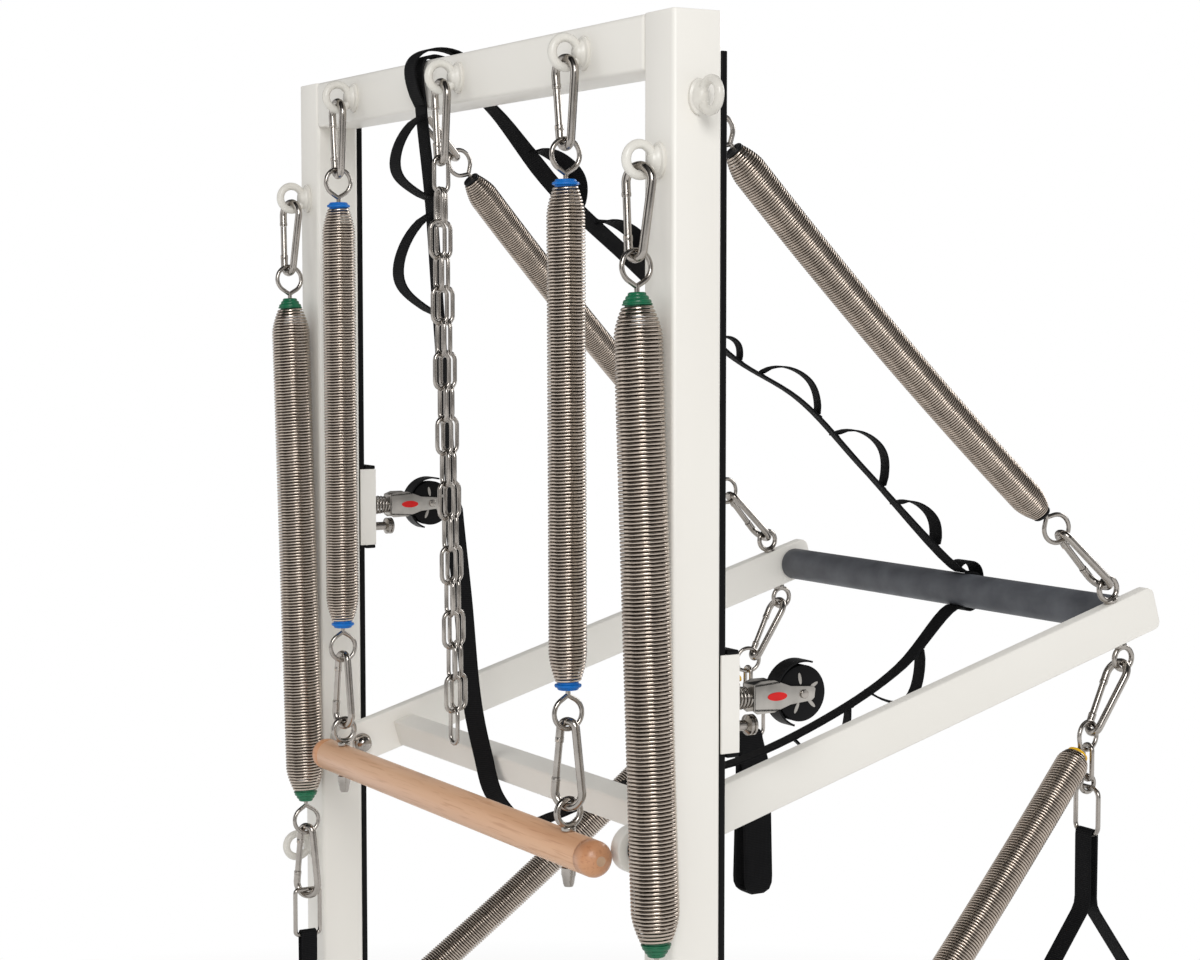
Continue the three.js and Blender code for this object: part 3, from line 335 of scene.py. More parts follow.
def block(centre, size, edge, axes=(X, Y, Z), segments=3):
    """A box with rounded edges along the given axes."""
    shell = bmesh.new()
    bmesh.ops.create_cube(shell, size=1)
    bmesh.ops.scale(shell, vec=size, verts=shell.verts)
    rounded_edges(shell, shell.edges[:], edge, segments)
    turn = Matrix([list(axis) for axis in axes]).transposed().to_4x4()
    bmesh.ops.transform(shell, matrix=Matrix.Translation(centre) @ turn, verts=shell.verts)
    return finished(shell)


def plate(outline, origin, first, second, thickness, edge=0.0, segments=2):
    """A flat outline, in (first, second) from origin, given a thickness about its middle."""
    normal = first.cross(second)
    shell = bmesh.new()
    spots = [shell.verts.new(origin + first * a + second * b - normal * thickness / 2) for a, b in outline]
    face = shell.faces.new(spots)
    grown = bmesh.ops.extrude_face_region(shell, geom=[face])
    moved = [v for v in grown["geom"] if isinstance(v, bmesh.types.BMVert)]
    bmesh.ops.translate(shell, vec=normal * thickness, verts=moved)
    if edge:
        runs = {e: (e.verts[0].co - e.verts[1].co).normalized() for e in shell.edges}
        rounded_edges(shell, [e for e, run in runs.items() if abs(run.dot(normal)) < 0.5], edge, segments)
    return finished(shell)


def swept(points, section, across, closed=False):
    """A section of (v, w) pairs carried along points, with a UV in metres along and round it.

    across is the section's first direction, one for all points or one for each.
    """
    if not isinstance(across, list):
        across = [across] * len(points)
    count, sides = len(points), len(section)
    rows = count + 1 if closed else count
    shell = bmesh.new()
    bmesh.ops.create_grid(shell, x_segments=rows - 1, y_segments=sides, size=0.5)
    steps = [0.0]
    for i in range(1, rows):
        steps.append(steps[-1] + (points[i % count] - points[i - 1]).length)
    round_steps = [0.0]
    for j in range(1, sides + 1):
        (a, b), (c, d) = section[j % sides], section[j - 1]
        round_steps.append(round_steps[-1] + math.hypot(a - c, b - d))
    places = {}
    for vert in shell.verts:
        places[vert] = (round((vert.co.x + 0.5) * (rows - 1)), round((vert.co.y + 0.5) * sides))
    uv = shell.loops.layers.uv.new("UVMap")
    for face in shell.faces:
        for loop in face.loops:
            i, j = places[loop.vert]
            loop[uv].uv = (steps[i], round_steps[j])
    for vert, (i, j) in places.items():
        here = points[i % count]
        before = points[(i - 1) % count] if closed or i else None
        after = points[(i + 1) % count] if closed or i < count - 1 else None
        incoming = (here - before).normalized() if before is not None else (after - here).normalized()
        outgoing = (after - here).normalized() if after is not None else incoming
        tangent = (incoming + outgoing).normalized()
        bend = outgoing - incoming
        v = squared(across[i % count], tangent)
        a, b = section[j % sides]
        offset = v * a + tangent.cross(v) * b
        if bend.length > 1e-6:
            bend.normalize()
            offset += bend * offset.dot(bend) * (1 / max(tangent.dot(incoming), 0.5) - 1)
        vert.co = here + offset
    bmesh.ops.remove_doubles(shell, verts=shell.verts, dist=SAME_POINT)
    if not closed:
        bmesh.ops.holes_fill(shell, edges=[e for e in shell.edges if e.is_boundary], sides=0)
    return finished(shell, 40)


def squared(side, direction):
    """The part of side that is square to direction, as a unit."""
    return (side - direction * side.dot(direction)).normalized()


def flat_section(width, thickness, edge=0.3):
    """Section of webbing: a flat strip with soft edges."""
    a, b, e = width / 2, thickness / 2, thickness * edge
    return [(-a + e, -b), (a - e, -b), (a, 0), (a - e, b), (-a + e, b), (-a, 0)]


def piece(name, shapes, body, *nodes, slot="fitting_steel"):
    """Joins (mesh, material) shapes in one piece that rides on a body and stands for its nodes."""
    shell = bmesh.new()
    materials = []
    for mesh, material in shapes:
        if material not in materials:
            materials.append(material)
        count = len(shell.faces)
        shell.from_mesh(mesh)
        shell.faces.ensure_lookup_table()
        for face in shell.faces[count:]:
            face.material_index = materials.index(material)
        bpy.data.meshes.remove(mesh)
    mesh = bpy.data.meshes.new(name)
    shell.to_mesh(mesh)
    shell.free()
    for material in materials:
        mesh.materials.append(material)
    made = bpy.data.objects.new(name, mesh)
    bpy.context.scene.collection.objects.link(made)
    if body:
        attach(made, body)
    if nodes:
        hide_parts(*nodes)
    return made


def settled(holder):
    """An object's mesh with its modifiers made real; the object goes."""
    bpy.context.view_layer.update()
    mesh = bpy.data.meshes.new_from_object(holder.evaluated_get(bpy.context.evaluated_depsgraph_get()))
    bpy.data.objects.remove(holder)
    return mesh


def smooth_curve(points, steps):
    """Closed centripetal curve through points, the one that the solid follows."""
    count = len(points)
    result = []
    for s in range(steps):
        i, t = divmod(s / steps * count, 1)
        p0, p1, p2, p3 = (points[(int(i) + k) % count] for k in (-1, 0, 1, 2))
        g0, g1, g2 = (max((b - a).length ** 0.5, 1e-4) for a, b in ((p0, p1), (p1, p2), (p2, p3)))
        t1 = ((p1 - p0) / g0 - (p2 - p0) / (g0 + g1) + (p2 - p1) / g1) * g1
        t2 = ((p2 - p1) / g1 - (p3 - p1) / (g1 + g2) + (p3 - p2) / g2) * g1
        result.append(
            p1 * (2 * t ** 3 - 3 * t ** 2 + 1) + t1 * (t ** 3 - 2 * t ** 2 + t)
            + p2 * (3 * t ** 2 - 2 * t ** 3) + t2 * (t ** 3 - t ** 2)
        )
    return result


# Driving sizes of the tower
HEIGHT = 1850 * MM
TUBE, TUBE_EDGE = 50 * MM, 4.2 * MM
INNER_FACE, HALF_WIDTH = 360 * MM, 410 * MM
TUBE_MIDDLE = TUBE / 2
BEAR, GAP = 0.4 * MM, 0.3 * MM
HOOK_ROD, HOOK_SPAN, HOOK_WIDE, HOOK_NARROW = 4 * MM, 80 * MM, 14 * MM, 8 * MM
EYE_ROD, EYE_RING, EYE_REACH, EYE_COATED = 4 * MM, 13.5 * MM, 20.5 * MM, 1.06
SPRING_EYE, SPRING_ROD, SPRING_STEM, CAP_HEIGHT = 14.5 * MM, 2.5 * MM, 10 * MM, 12 * MM
BAR_EYE_RING, BAR_EYE_ROD = 11.6 * MM, 2.9 * MM
SMALL_ROD = 2.5 * MM
EYE_SPAN = SPRING_EYE * 2 + SPRING_STEM - SPRING_ROD
SEAT = HOOK_ROD + SPRING_ROD + 0.75 * MM
HOOK_SEAT = EYE_RING - EYE_ROD - HOOK_ROD - BEAR
BAR_SEAT = BAR_EYE_RING - BAR_EYE_ROD - HOOK_ROD - BEAR
BAR_ANGLE = math.radians(16.565)
BAR_AXIS = Vector((0, math.cos(BAR_ANGLE), math.sin(BAR_ANGLE)))
BAR_NORMAL = Vector((0, -math.sin(BAR_ANGLE), math.cos(BAR_ANGLE)))
FRONT_PLANE = -EYE_REACH
SIDES = (("left", -1), ("right", 1))

# Places in millimetres: across from the middle, drops from the top, along and off the push-through bar
GREEN_X, GREEN_SHIFT, BLUE_X, BLUE_SHIFT, BLACK_X, ARM_X, TRACK_X = 388, 38, 256, 4.5, 265, 313, 385
BEAM_EYE_DROP, FRONT_EYE_DROPS, SIDE_EYE_DROPS, PIVOT_DROP = 25, (129, 877), (75, 1174), 755.5
BLUE_DROP, GREEN_DROP, CARRIAGE_DROPS = 607, 818, (484, 606)
PAD_ALONG, PAD_RISE, PAD_RADIUS = 645, -2, 19
ARM_EYE_ALONG, UPPER_RISE, LOWER_RISE = 620, 37, -39


def level(drop):
    """Height at a drop below the top."""
    return HEIGHT - drop * MM


def on_bar(x, along, rise):
    """A point on the push-through bar, in its own directions."""
    return Vector((x, 0, level(PIVOT_DROP))) + BAR_AXIS * (along * MM) + BAR_NORMAL * (rise * MM)


# Safety strap: the route that its solid follows, then its sewn loops
STRAP_WIDTH, STRAP_THICK, STRAP_SLACK = 25 * MM, 2.4 * MM, 1.1
GRIP_X = 31 * MM
pad_centre = on_bar(0, PAD_ALONG, PAD_RISE)
wrap = (PAD_RADIUS * MM + STRAP_THICK / 2 + BEAR) * STRAP_SLACK
grip_round = arc(pad_centre + X * GRIP_X, Y, Z, wrap, math.radians(-125), math.radians(225), 5)
over_beam = 1850 + 1.2 + 0.3
strap_route = [
    at(*p) for p in (
        (-80, 25, over_beam), (-82, 5, over_beam + 2.4), (-83, -4.8, over_beam - 5), (-83, -2.4, 1800),
        (-79, 6, 1706), (-76, 12, 1600), (-73, 18, 1500), (-70, 25, 1394), (-67, 35, 1289),
        (-64, 44, 1182), (-59, 54, 1125), (-52, 64, 1082), (-38, 80, 1062), (-20, 96, 1057),
        (-3, 118, 1066), (6, 198, 1093), (14, 315, 1102), (20, 444, 1144), (26, 537, 1194),
    )
] + grip_round + [
    at(*p) for p in (
        (8, 499, 1415), (-4, 419, 1494), (-15, 334, 1544), (-34, 227, 1641), (-52, 142, 1718),
        (-66, 84, 1790), (-74, 54.8, 1825), (-78, 54.8, over_beam - 5), (-79, 45, over_beam + 2.4),
    )
]
strap_line = smooth_curve(strap_route, 240)

FRONT_TURN, REAR_TURN, UPPER_TURN, UPPER_RUN = 0.5, -0.34, 0.9, 1.4


def lie(place):
    """The direction of the strap's width: along the beam and the grip, turned a little in the free runs."""
    front = ease(place.z, 1.79, 1.49) * ease(place.y, 0.11, 0.06)
    rear = ease(place.y, 0.06, 0.18) * ease(place.y, 0.62, 0.51)
    if place.z > UPPER_RUN:
        near_beam = ease(place.y, 0.34, 0.24) * ease(place.y, 0.06, 0.12)
        front, rear = near_beam * UPPER_TURN, rear * (1 - near_beam)
    return (X + Y * (FRONT_TURN * front + REAR_TURN * rear)).normalized()


def lying_web(line, width, thickness, closed=False):
    return swept(line, flat_section(width, thickness), [lie(p) for p in line], closed), WEBBING


strap = piece("safety_strap", [lying_web(strap_line, STRAP_WIDTH, STRAP_THICK, True)], None, slot="webbing")

# each sewn loop: where it starts and ends along the strap, and its bulge as a share of that length
LOOPS = (
    (0.991, 1.033, 0.6), (0.0376, 0.0734, 0.42), (0.0803, 0.1243, 0.4), (0.5, 0.5325, 0.5),
    (0.546, 0.58, 0.45), (0.6323, 0.6478, 0.45), (0.6632, 0.6919, 0.42), (0.7033, 0.7387, 0.45),
    (0.752, 0.7878, 0.4), (0.8005, 0.8164, 0.45), (0.8638, 0.8952, 0.35), (0.9069, 0.9389, 0.35),
)
DROOP_SHARE, LOOP_STEPS = 0.08, 20
strap_middle = at(0, 300, 1350)
reach = [0.0]
for here, there in zip(strap_line, strap_line[1:] + strap_line[:1]):
    reach.append(reach[-1] + (there - here).length)
STRAP_LENGTH = reach[-1]


def on_strap(share):
    """The point at a share of the strap's length."""
    distance = share * STRAP_LENGTH % STRAP_LENGTH
    i = max(k for k in range(len(strap_line)) if reach[k] <= distance)
    part = (distance - reach[i]) / max(reach[i + 1] - reach[i], 1e-9)
    return strap_line[i].lerp(strap_line[(i + 1) % len(strap_line)], part)


def strap_loop(start, end, bulge):
    """A loop of the same webbing, sewn down at both ends, bulging away from the strap's middle."""
    a, b = on_strap(start), on_strap(end)
    chord = b - a
    along, size = chord.normalized(), chord.length
    away = (a + b) / 2 - strap_middle
    away.x = 0
    away = squared(away, along)
    line = []
    for t in (i / LOOP_STEPS for i in range(LOOP_STEPS + 1)):
        swell = math.sin(math.pi * t)
        out = away * (swell ** 0.75 * size * bulge + STRAP_THICK * 0.6)
        line.append(a + chord * t + out + DOWN * (size * DROOP_SHARE * swell ** 2))
    shapes = [lying_web(line, STRAP_WIDTH * 0.98, STRAP_THICK * 0.8)]
    seam_size = (STRAP_WIDTH * 0.9, 4 * MM, STRAP_THICK * 0.5)
    for seam in (a, b):
        across = squared(lie(seam), along)
        axes = (across, along, across.cross(along))
        shapes.append((block(seam + away * STRAP_THICK * 0.55, seam_size, 0.4 * MM, axes, 2), WEBBING))
    return shapes


loops = piece("strap_loops", sum((strap_loop(*loop) for loop in LOOPS), []), None, slot="webbing")
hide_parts("daisy_chain_strap")
for soft in (strap, loops):
    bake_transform(soft)


# Eyes, uprights and beam
FLANGE = in_mm((
    (0, -0.2), (15.3, -0.2), (15.8, 0.8), (15.6, 3.2), (12.6, 4.2), (12.2, 6), (9.6, 7.6), (8.4, 9.6),
    (6, 12), (0, 12),
))
FLANGE_NARROW = 0.68


def cast_eye(face, outward):
    """A cast eye: thick upright ring on an oval flange, narrow across the ring."""
    base = turned(face, outward, FLANGE, 40, 50)
    narrowed = Matrix.Scale(FLANGE_NARROW, 4, outward.cross(Z))
    base.transform(Matrix.Translation(face) @ narrowed @ Matrix.Translation(-face))
    ring = circle(face + outward * EYE_REACH, outward, Z, EYE_RING, 40)
    return [(wire(ring, EYE_ROD * EYE_COATED, True, 4), EYE_SHADED_COAT), (base, EYE_SHADED_COAT)]


def upright(sign):
    """An open-footed square tube with its foot plate and four eyes."""
    wall, top_edge = 2.5 * MM, 0.8 * MM
    middle, side_face = sign * (HALF_WIDTH - TUBE_MIDDLE), sign * HALF_WIDTH
    shell = bmesh.new()
    bmesh.ops.create_cube(shell, size=1)
    bmesh.ops.scale(shell, vec=(TUBE, TUBE, HEIGHT), verts=shell.verts)
    bmesh.ops.translate(shell, vec=(middle, TUBE_MIDDLE, HEIGHT / 2), verts=shell.verts)
    bottom = [f for f in shell.faces if f.normal.z < -0.9]
    bmesh.ops.delete(shell, geom=bottom, context="FACES_ONLY")
    posts = [e for e in shell.edges if abs((e.verts[0].co - e.verts[1].co).z) > TUBE]
    rounded_edges(shell, posts, TUBE_EDGE, 4)
    rim = [e for e in shell.edges if not e.is_boundary and min(v.co.z for v in e.verts) > HEIGHT - MM]
    rounded_edges(shell, rim, top_edge, 2)
    bmesh.ops.recalc_face_normals(shell, faces=shell.faces)
    bmesh.ops.solidify(shell, geom=shell.faces[:], thickness=wall)
    shapes = [(finished(shell, 40), COAT), (foot_plate(middle), COAT)]
    for drop in FRONT_EYE_DROPS:
        shapes += cast_eye(Vector((sign * GREEN_X * MM, 0, level(drop))), FRONT)
    for drop in SIDE_EYE_DROPS:
        shapes += cast_eye(Vector((side_face, TUBE_MIDDLE, level(drop))), X * sign)
    return shapes


def foot_plate(middle):
    """Floor plate round the tube's foot, with four bolt holes."""
    half_long, half_deep, thick, corner = 65 * MM, 55 * MM, 6 * MM, 5 * MM
    hole, inset, opening = 4.5 * MM, 18 * MM, 45 * MM
    shell = bmesh.new()
    bmesh.ops.create_cube(shell, size=1)
    bmesh.ops.scale(shell, vec=(half_long * 2, half_deep * 2, thick), verts=shell.verts)
    bmesh.ops.translate(shell, vec=(middle, TUBE_MIDDLE, thick / 2), verts=shell.verts)
    corners = [e for e in shell.edges if abs((e.verts[0].co - e.verts[1].co).z) > thick / 2]
    rounded_edges(shell, corners, corner, 3)
    body = bpy.data.objects.new("plate", finished(shell))
    drills = bmesh.new()
    for sx, sy in ((-1, -1), (-1, 1), (1, -1), (1, 1)):
        spot = (middle + sx * (half_long - inset), TUBE_MIDDLE + sy * (half_deep - inset), 0)
        bmesh.ops.create_cone(
            drills, cap_ends=True, segments=24, radius1=hole, radius2=hole, depth=thick * 3,
            matrix=Matrix.Translation(spot),
        )
    square = Matrix.Diagonal((opening, opening, thick * 3, 1))
    bmesh.ops.create_cube(drills, size=1, matrix=Matrix.Translation((middle, TUBE_MIDDLE, 0)) @ square)
    cutter = bpy.data.objects.new("drills", finished(drills))
    for made in (body, cutter):
        bpy.context.scene.collection.objects.link(made)
    cut = body.modifiers.new("holes", "BOOLEAN")
    cut.operation, cut.object, cut.solver = "DIFFERENCE", cutter, "EXACT"
    mesh = settled(body)
    bpy.data.objects.remove(cutter)
    return mesh


for side, sign in SIDES:
    piece(f"{side}_post", upright(sign), "tower", f"{side}_upright", slot="frame_paint")

beam_eyes = []
for x in (-BLUE_X, 0, BLUE_X):
    beam_eyes += cast_eye(Vector((x * MM, 0, level(BEAM_EYE_DROP))), FRONT)
for x in (-BLACK_X, BLACK_X):
    beam_eyes += cast_eye(Vector((x * MM, TUBE, level(BEAM_EYE_DROP))), Y)
beam = block(
    Vector((0, TUBE_MIDDLE, HEIGHT - TUBE_MIDDLE)), (INNER_FACE * 2, TUBE, TUBE), TUBE_EDGE, segments=4,
)
piece("beam", [(beam, COAT), *beam_eyes], "tower", "top_beam", slot="frame_paint")
for side, sign in SIDES:
    low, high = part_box(f"{side}_track")
    strip = block((low + high) / 2, tuple(high - low), 0.8 * MM)
    piece(f"{side}_track_strip", [(strip, BLACK_PLASTIC)], "tower", f"{side}_track", slot="track_black")


# Snap hooks; GATE is where the gate starts and ends along its flank
GATE = (0.20, 0.86)


def snap_hook(start, direction, side):
    """A pear-shaped spring hook: bent rod, a gate on one flank, its nose and its rivet."""
    tilt = math.asin((HOOK_WIDE - HOOK_NARROW) / (HOOK_SPAN - HOOK_WIDE - HOOK_NARROW))
    near, far = start + direction * HOOK_WIDE, start + direction * (HOOK_SPAN - HOOK_NARROW)
    wide = arc(near, direction, side, HOOK_WIDE, QUARTER - tilt, math.pi + tilt * 2, 24)
    narrow = arc(far, direction, side, HOOK_NARROW, QUARTER * 3 + tilt, math.pi - tilt * 2, 16)
    # the gate lies on the flank away from side
    nose, hinge = (wide[-1].lerp(narrow[0], share) for share in GATE)
    run = (hinge - nose).normalized()
    play = run * (0.6 * MM)
    normal = direction.cross(side)
    rivet_half = HOOK_ROD * 1.08
    rivet_start = hinge - run * (3 * MM) - normal * rivet_half
    rivet = rod(rivet_start, normal, 1.5 * MM, rivet_half * 2, 0.4 * MM, 16)
    return [
        (wire([hinge, *narrow, *wide, nose], HOOK_ROD, False, 4), FITTING),
        (wire([nose + play, hinge - play], HOOK_ROD * 0.86, False, 4), FITTING),
        (rod(nose - run * (4 * MM), run, HOOK_ROD * 1.06, 3.5 * MM, 0.5 * MM, 24), FITTING),
        (rod(hinge - run * (5 * MM), run, HOOK_ROD * 1.04, 5 * MM, 0.5 * MM, 24), FITTING),
        (rivet, SPRING_WIRE),
    ]


def hook(name, node, body, start, direction, side):
    piece(name, snap_hook(start, direction, side), body, node)


# Springs
# each colour's pitch, outer radius, cap shown past the coil, taper's length, and end radius as a share
COILS = {
    "blue": (3.1 * MM, 18 * MM, 5.6 * MM, 27 * MM, 0.62),
    "green": (3.37 * MM, 21.6 * MM, 11 * MM, 27 * MM, 0.62),
    "black": (2.6 * MM, 17 * MM, 2.5 * MM, 24 * MM, 0.58),
    "yellow": (3.1 * MM, 17 * MM, 4.4 * MM, 11 * MM, 0.74),
}
# the third share sizes the dark inner sleeve, painted shade inside each coil
WIRE_SHARE, MEET_SHARE, SHADE_SLEEVE_SHARE, TAPER_CURVE, STEM_SHARE = 0.42, 1.16, 0.93, 1.6, 0.94
CAP_PROFILES = {
    "blue": [(0, 0), (9, 0), (9.8, 0.6), (10.2, 2), (12, 2.6), (12.6, 3.6), (12.4, 5), (10, 5.8), (9, 14),
             (0, 14)],
    "green": [(0, 0), (7, 0), (8, 0.8), (8.2, 2.6), (9.6, 3.2), (10.4, 4.6), (10.2, 6), (11.8, 6.6),
              (12.6, 8), (12.4, 9.4), (13.4, 10), (13.4, 11), (11, 11.4), (11, 20), (0, 20)],
    "black": [(0, 1), (6, 1), (9, 0.4), (9.8, 1.4), (9.6, 2.6), (8, 3), (8, 12), (0, 12)],
    "yellow": [(0, 0), (6.5, 0), (9, 0.5), (10.8, 1.8), (11.2, 3.4), (10.6, 4.6), (8.4, 5), (8.4, 13),
               (0, 13)],
}


def helix(radius, wire_radius, start, pitch, turns, per_turn=32):
    """A straight coil on Z: one turn spun from a circle, repeated by an array."""
    shell = bmesh.new()
    upright_ring = Matrix.Translation((radius, 0, start)) @ Matrix.Rotation(QUARTER, 4, "X")
    ring = bmesh.ops.create_circle(shell, segments=8, radius=wire_radius, matrix=upright_ring)["verts"]
    bmesh.ops.spin(
        shell, geom=ring + shell.edges[:], cent=(0, 0, 0), axis=Z, dvec=(0, 0, pitch / per_turn),
        angle=TURN, steps=per_turn, use_merge=False,
    )
    mesh = bpy.data.meshes.new("turn")
    shell.to_mesh(mesh)
    shell.free()
    holder = bpy.data.objects.new("turn", mesh)
    bpy.context.scene.collection.objects.link(holder)
    row = holder.modifiers.new("turns", "ARRAY")
    row.count, row.use_relative_offset, row.use_constant_offset = turns, False, True
    row.constant_offset_displace = (0, 0, pitch)
    row.use_merge_vertices, row.merge_threshold = True, pitch * 0.02
    coil = settled(holder)
    shell = bmesh.new()
    shell.from_mesh(coil)
    for done in (mesh, coil):
        bpy.data.meshes.remove(done)
    bmesh.ops.holes_fill(shell, edges=[e for e in shell.edges if e.is_boundary], sides=0)
    return shell


def end_eye(start, facing, plane):
    """The end's wire eye: a ring whose two ends meet in a V, and the stem below it."""
    flat = squared(plane, facing)
    centre = start + facing * SPRING_EYE
    touch = math.acos(1 / MEET_SHARE)
    ring = arc(centre, facing, flat, SPRING_EYE, touch, TURN - touch * 2, 36)
    foot = centre + facing * (SPRING_EYE * MEET_SHARE)
    tail = start + facing * (EYE_SPAN + CAP_HEIGHT / 2)
    thick = SPRING_ROD * STEM_SHARE
    return [(wire([foot, *ring, foot - flat * thick * 0.3], thick), FITTING),
            (wire([foot - facing * (1.5 * MM), tail], thick), FITTING)]


def spring(name, colour, start, end, start_plane, end_plane, sag, node):
    """A close-wound spring between two eye points."""
    pitch, outer, cap_shown, cone, cone_end = COILS[colour]
    wire_radius = pitch * WIRE_SHARE
    span = end - start
    length, direction = span.length, span.normalized()
    bow = squared(DOWN, direction) if abs(direction.z) < 0.9999 else X

    def axis(distance):
        share = distance / length
        return start + direction * distance + bow * (sag * share * (1 - share) * 4)

    first, last = EYE_SPAN, length - EYE_SPAN
    coil_start, coil_end = first + cap_shown + wire_radius, last - cap_shown - wire_radius
    coil_length = coil_end - coil_start
    flat = squared(start_plane, direction)
    other = direction.cross(flat)
    turns = round(coil_length / pitch)
    shell = helix(outer - wire_radius, wire_radius, coil_start, coil_length / turns, turns)
    for vert in shell.verts:
        distance = min(max(vert.co.z, first), last)
        taper = 1 - (1 - ease(min(distance - coil_start, coil_end - distance), 0, cone)) ** TAPER_CURVE
        out = Vector((vert.co.x, vert.co.y, 0))
        out = out.normalized() * (out.length - (outer - wire_radius) * (1 - cone_end) * (1 - taper))
        vert.co = axis(vert.co.z) + flat * out.x + other * out.y
    shapes = [(finished(shell, 60), SPRING_WIRE)]
    for distance, sense in ((first, 1), (last, -1)):
        cap = turned(axis(distance), direction * sense, in_mm(CAP_PROFILES[colour]), 40, 50)
        shapes.append((cap, CAP_COLOURS[colour]))
    # a dark inner sleeve, which real springs don't have, is painted shade inside the coil: it keeps daylight
    # from showing between the turns
    inside = [axis(coil_start + cone * 0.6 + (coil_length - cone * 1.2) * i / 24) for i in range(25)]
    shapes.append((wire(inside, (outer - wire_radius * 2) * SHADE_SLEEVE_SHARE, False, 5), BLACK_PLASTIC))
    shapes += end_eye(start, direction, start_plane) + end_eye(end, -direction, end_plane)
    made = piece(name, shapes, None, node, slot="spring_steel")
    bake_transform(made)


def turned_side(direction, degrees):
    """The direction of a hook's width, turned about its own line from X towards Y."""
    angle = math.radians(degrees)
    return squared(X * math.cos(angle) + Y * math.sin(angle), direction)


def spring_line(side, colour, top, bottom, eye_side, sag, bodies, upper=None, lower=None, turns=(0, 0)):
    """Upper hook, spring and lower hook, as they hang on each other; turns are the two hooks' angles."""
    straight = (bottom - top).normalized()
    upper = upper or straight
    lower = lower or -straight
    label = f"{side}_{colour}"
    sides = [turned_side(direction, turn) for direction, turn in ((upper, turns[0]), (lower, turns[1]))]
    hook(f"{label}_hook_above", f"{label}_upper_hook", bodies[0], top, upper, sides[0])
    hook(f"{label}_hook_below", f"{label}_lower_hook", bodies[1], bottom, lower, sides[1])
    spring(f"{label}_coil", colour, top + upper * (HOOK_SPAN - SEAT), bottom + lower * (HOOK_SPAN - SEAT),
           eye_side, eye_side, sag, f"{label}_spring")


# the two hooks' turns in degrees, by side, from the photograph
BLUE_TURNS, GREEN_TURNS = {-1: (0, 14), 1: (9, 34)}, {-1: (16, 34), 1: (22, 20)}
BLUE_FOOT, GREEN_FOOT = (level(drop) - EYE_SPAN + SEAT - HOOK_SPAN for drop in (BLUE_DROP, GREEN_DROP))
for side, sign in SIDES:
    top = Vector((sign * BLUE_X * MM, FRONT_PLANE, level(BEAM_EYE_DROP) - HOOK_SEAT))
    foot = Vector(((BLUE_SHIFT + sign * BLUE_X) * MM, FRONT_PLANE, BLUE_FOOT))
    spring_line(side, "blue", top, foot, Y, 0, ("roll_down_springs", "roll_down"), turns=BLUE_TURNS[sign])

GREEN_PLANE = -24.4 * MM
green_tilt = math.asin((GREEN_PLANE + EYE_REACH) / (HOOK_SPAN - SEAT))
green_ends = {}
for side, sign in SIDES:
    top = Vector((sign * GREEN_X * MM, FRONT_PLANE, level(FRONT_EYE_DROPS[0]) - HOOK_SEAT))
    foot = green_ends[side] = Vector(((sign * GREEN_X + GREEN_SHIFT) * MM, GREEN_PLANE, GREEN_FOOT))
    spring_line(
        side, "green", top, foot, Y, 0, (f"{side}_green_hanger", f"{side}_green_pull"),
        upper=Vector((0, math.sin(green_tilt), -math.cos(green_tilt))), lower=Z.copy(),
        turns=GREEN_TURNS[sign],
    )

for side, sign in SIDES:
    upper_eye = Vector((sign * BLACK_X * MM, TUBE + EYE_REACH, level(BEAM_EYE_DROP)))
    lower_eye = on_bar(sign * ARM_X * MM, ARM_EYE_ALONG, UPPER_RISE)
    run = (lower_eye - upper_eye).normalized()
    spring_line(
        side, "black", upper_eye + run * HOOK_SEAT, lower_eye - run * BAR_SEAT, BAR_NORMAL, 8 * MM,
        (f"{side}_black_link", f"{side}_black_foot"),
    )

YELLOW_LEAN = math.radians(29.16)
handle_tops = {}
for side, sign in SIDES:
    link_body, end_body = f"{side}_yellow_link", f"{side}_yellow_end"
    hang = Vector((0, -math.sin(YELLOW_LEAN), -math.cos(YELLOW_LEAN)))
    hook_top = on_bar(sign * ARM_X * MM, ARM_EYE_ALONG, LOWER_RISE) + hang * BAR_SEAT
    hook(f"{side}_yellow_hook_above", f"{side}_yellow_upper_hook", end_body, hook_top, hang, X)
    side_eye = Vector((sign * (HALF_WIDTH + EYE_REACH), TUBE_MIDDLE, level(SIDE_EYE_DROPS[1])))
    start = hook_top + hang * (HOOK_SPAN - SEAT - BEAR * 2)
    rise = (start - side_eye).normalized()
    end = side_eye + Z * EYE_RING - rise * (HOOK_ROD + EYE_ROD + BEAR)
    back = (start - end).normalized()
    hook(f"{side}_yellow_hook_below", f"{side}_yellow_lower_hook", link_body, end, back, squared(Y, back))
    # the spring is made from its fixed lower end to the end that moves with the bar
    spring(f"{side}_yellow_coil", "yellow", end + back * (HOOK_SPAN - SEAT), start, X, Z, 10 * MM,
           f"{side}_yellow_spring")
    ring_centre = start - back * SPRING_EYE
    handle_tops[side] = ring_centre + DOWN * SPRING_EYE + Z * (SPRING_ROD + SMALL_ROD + BEAR)


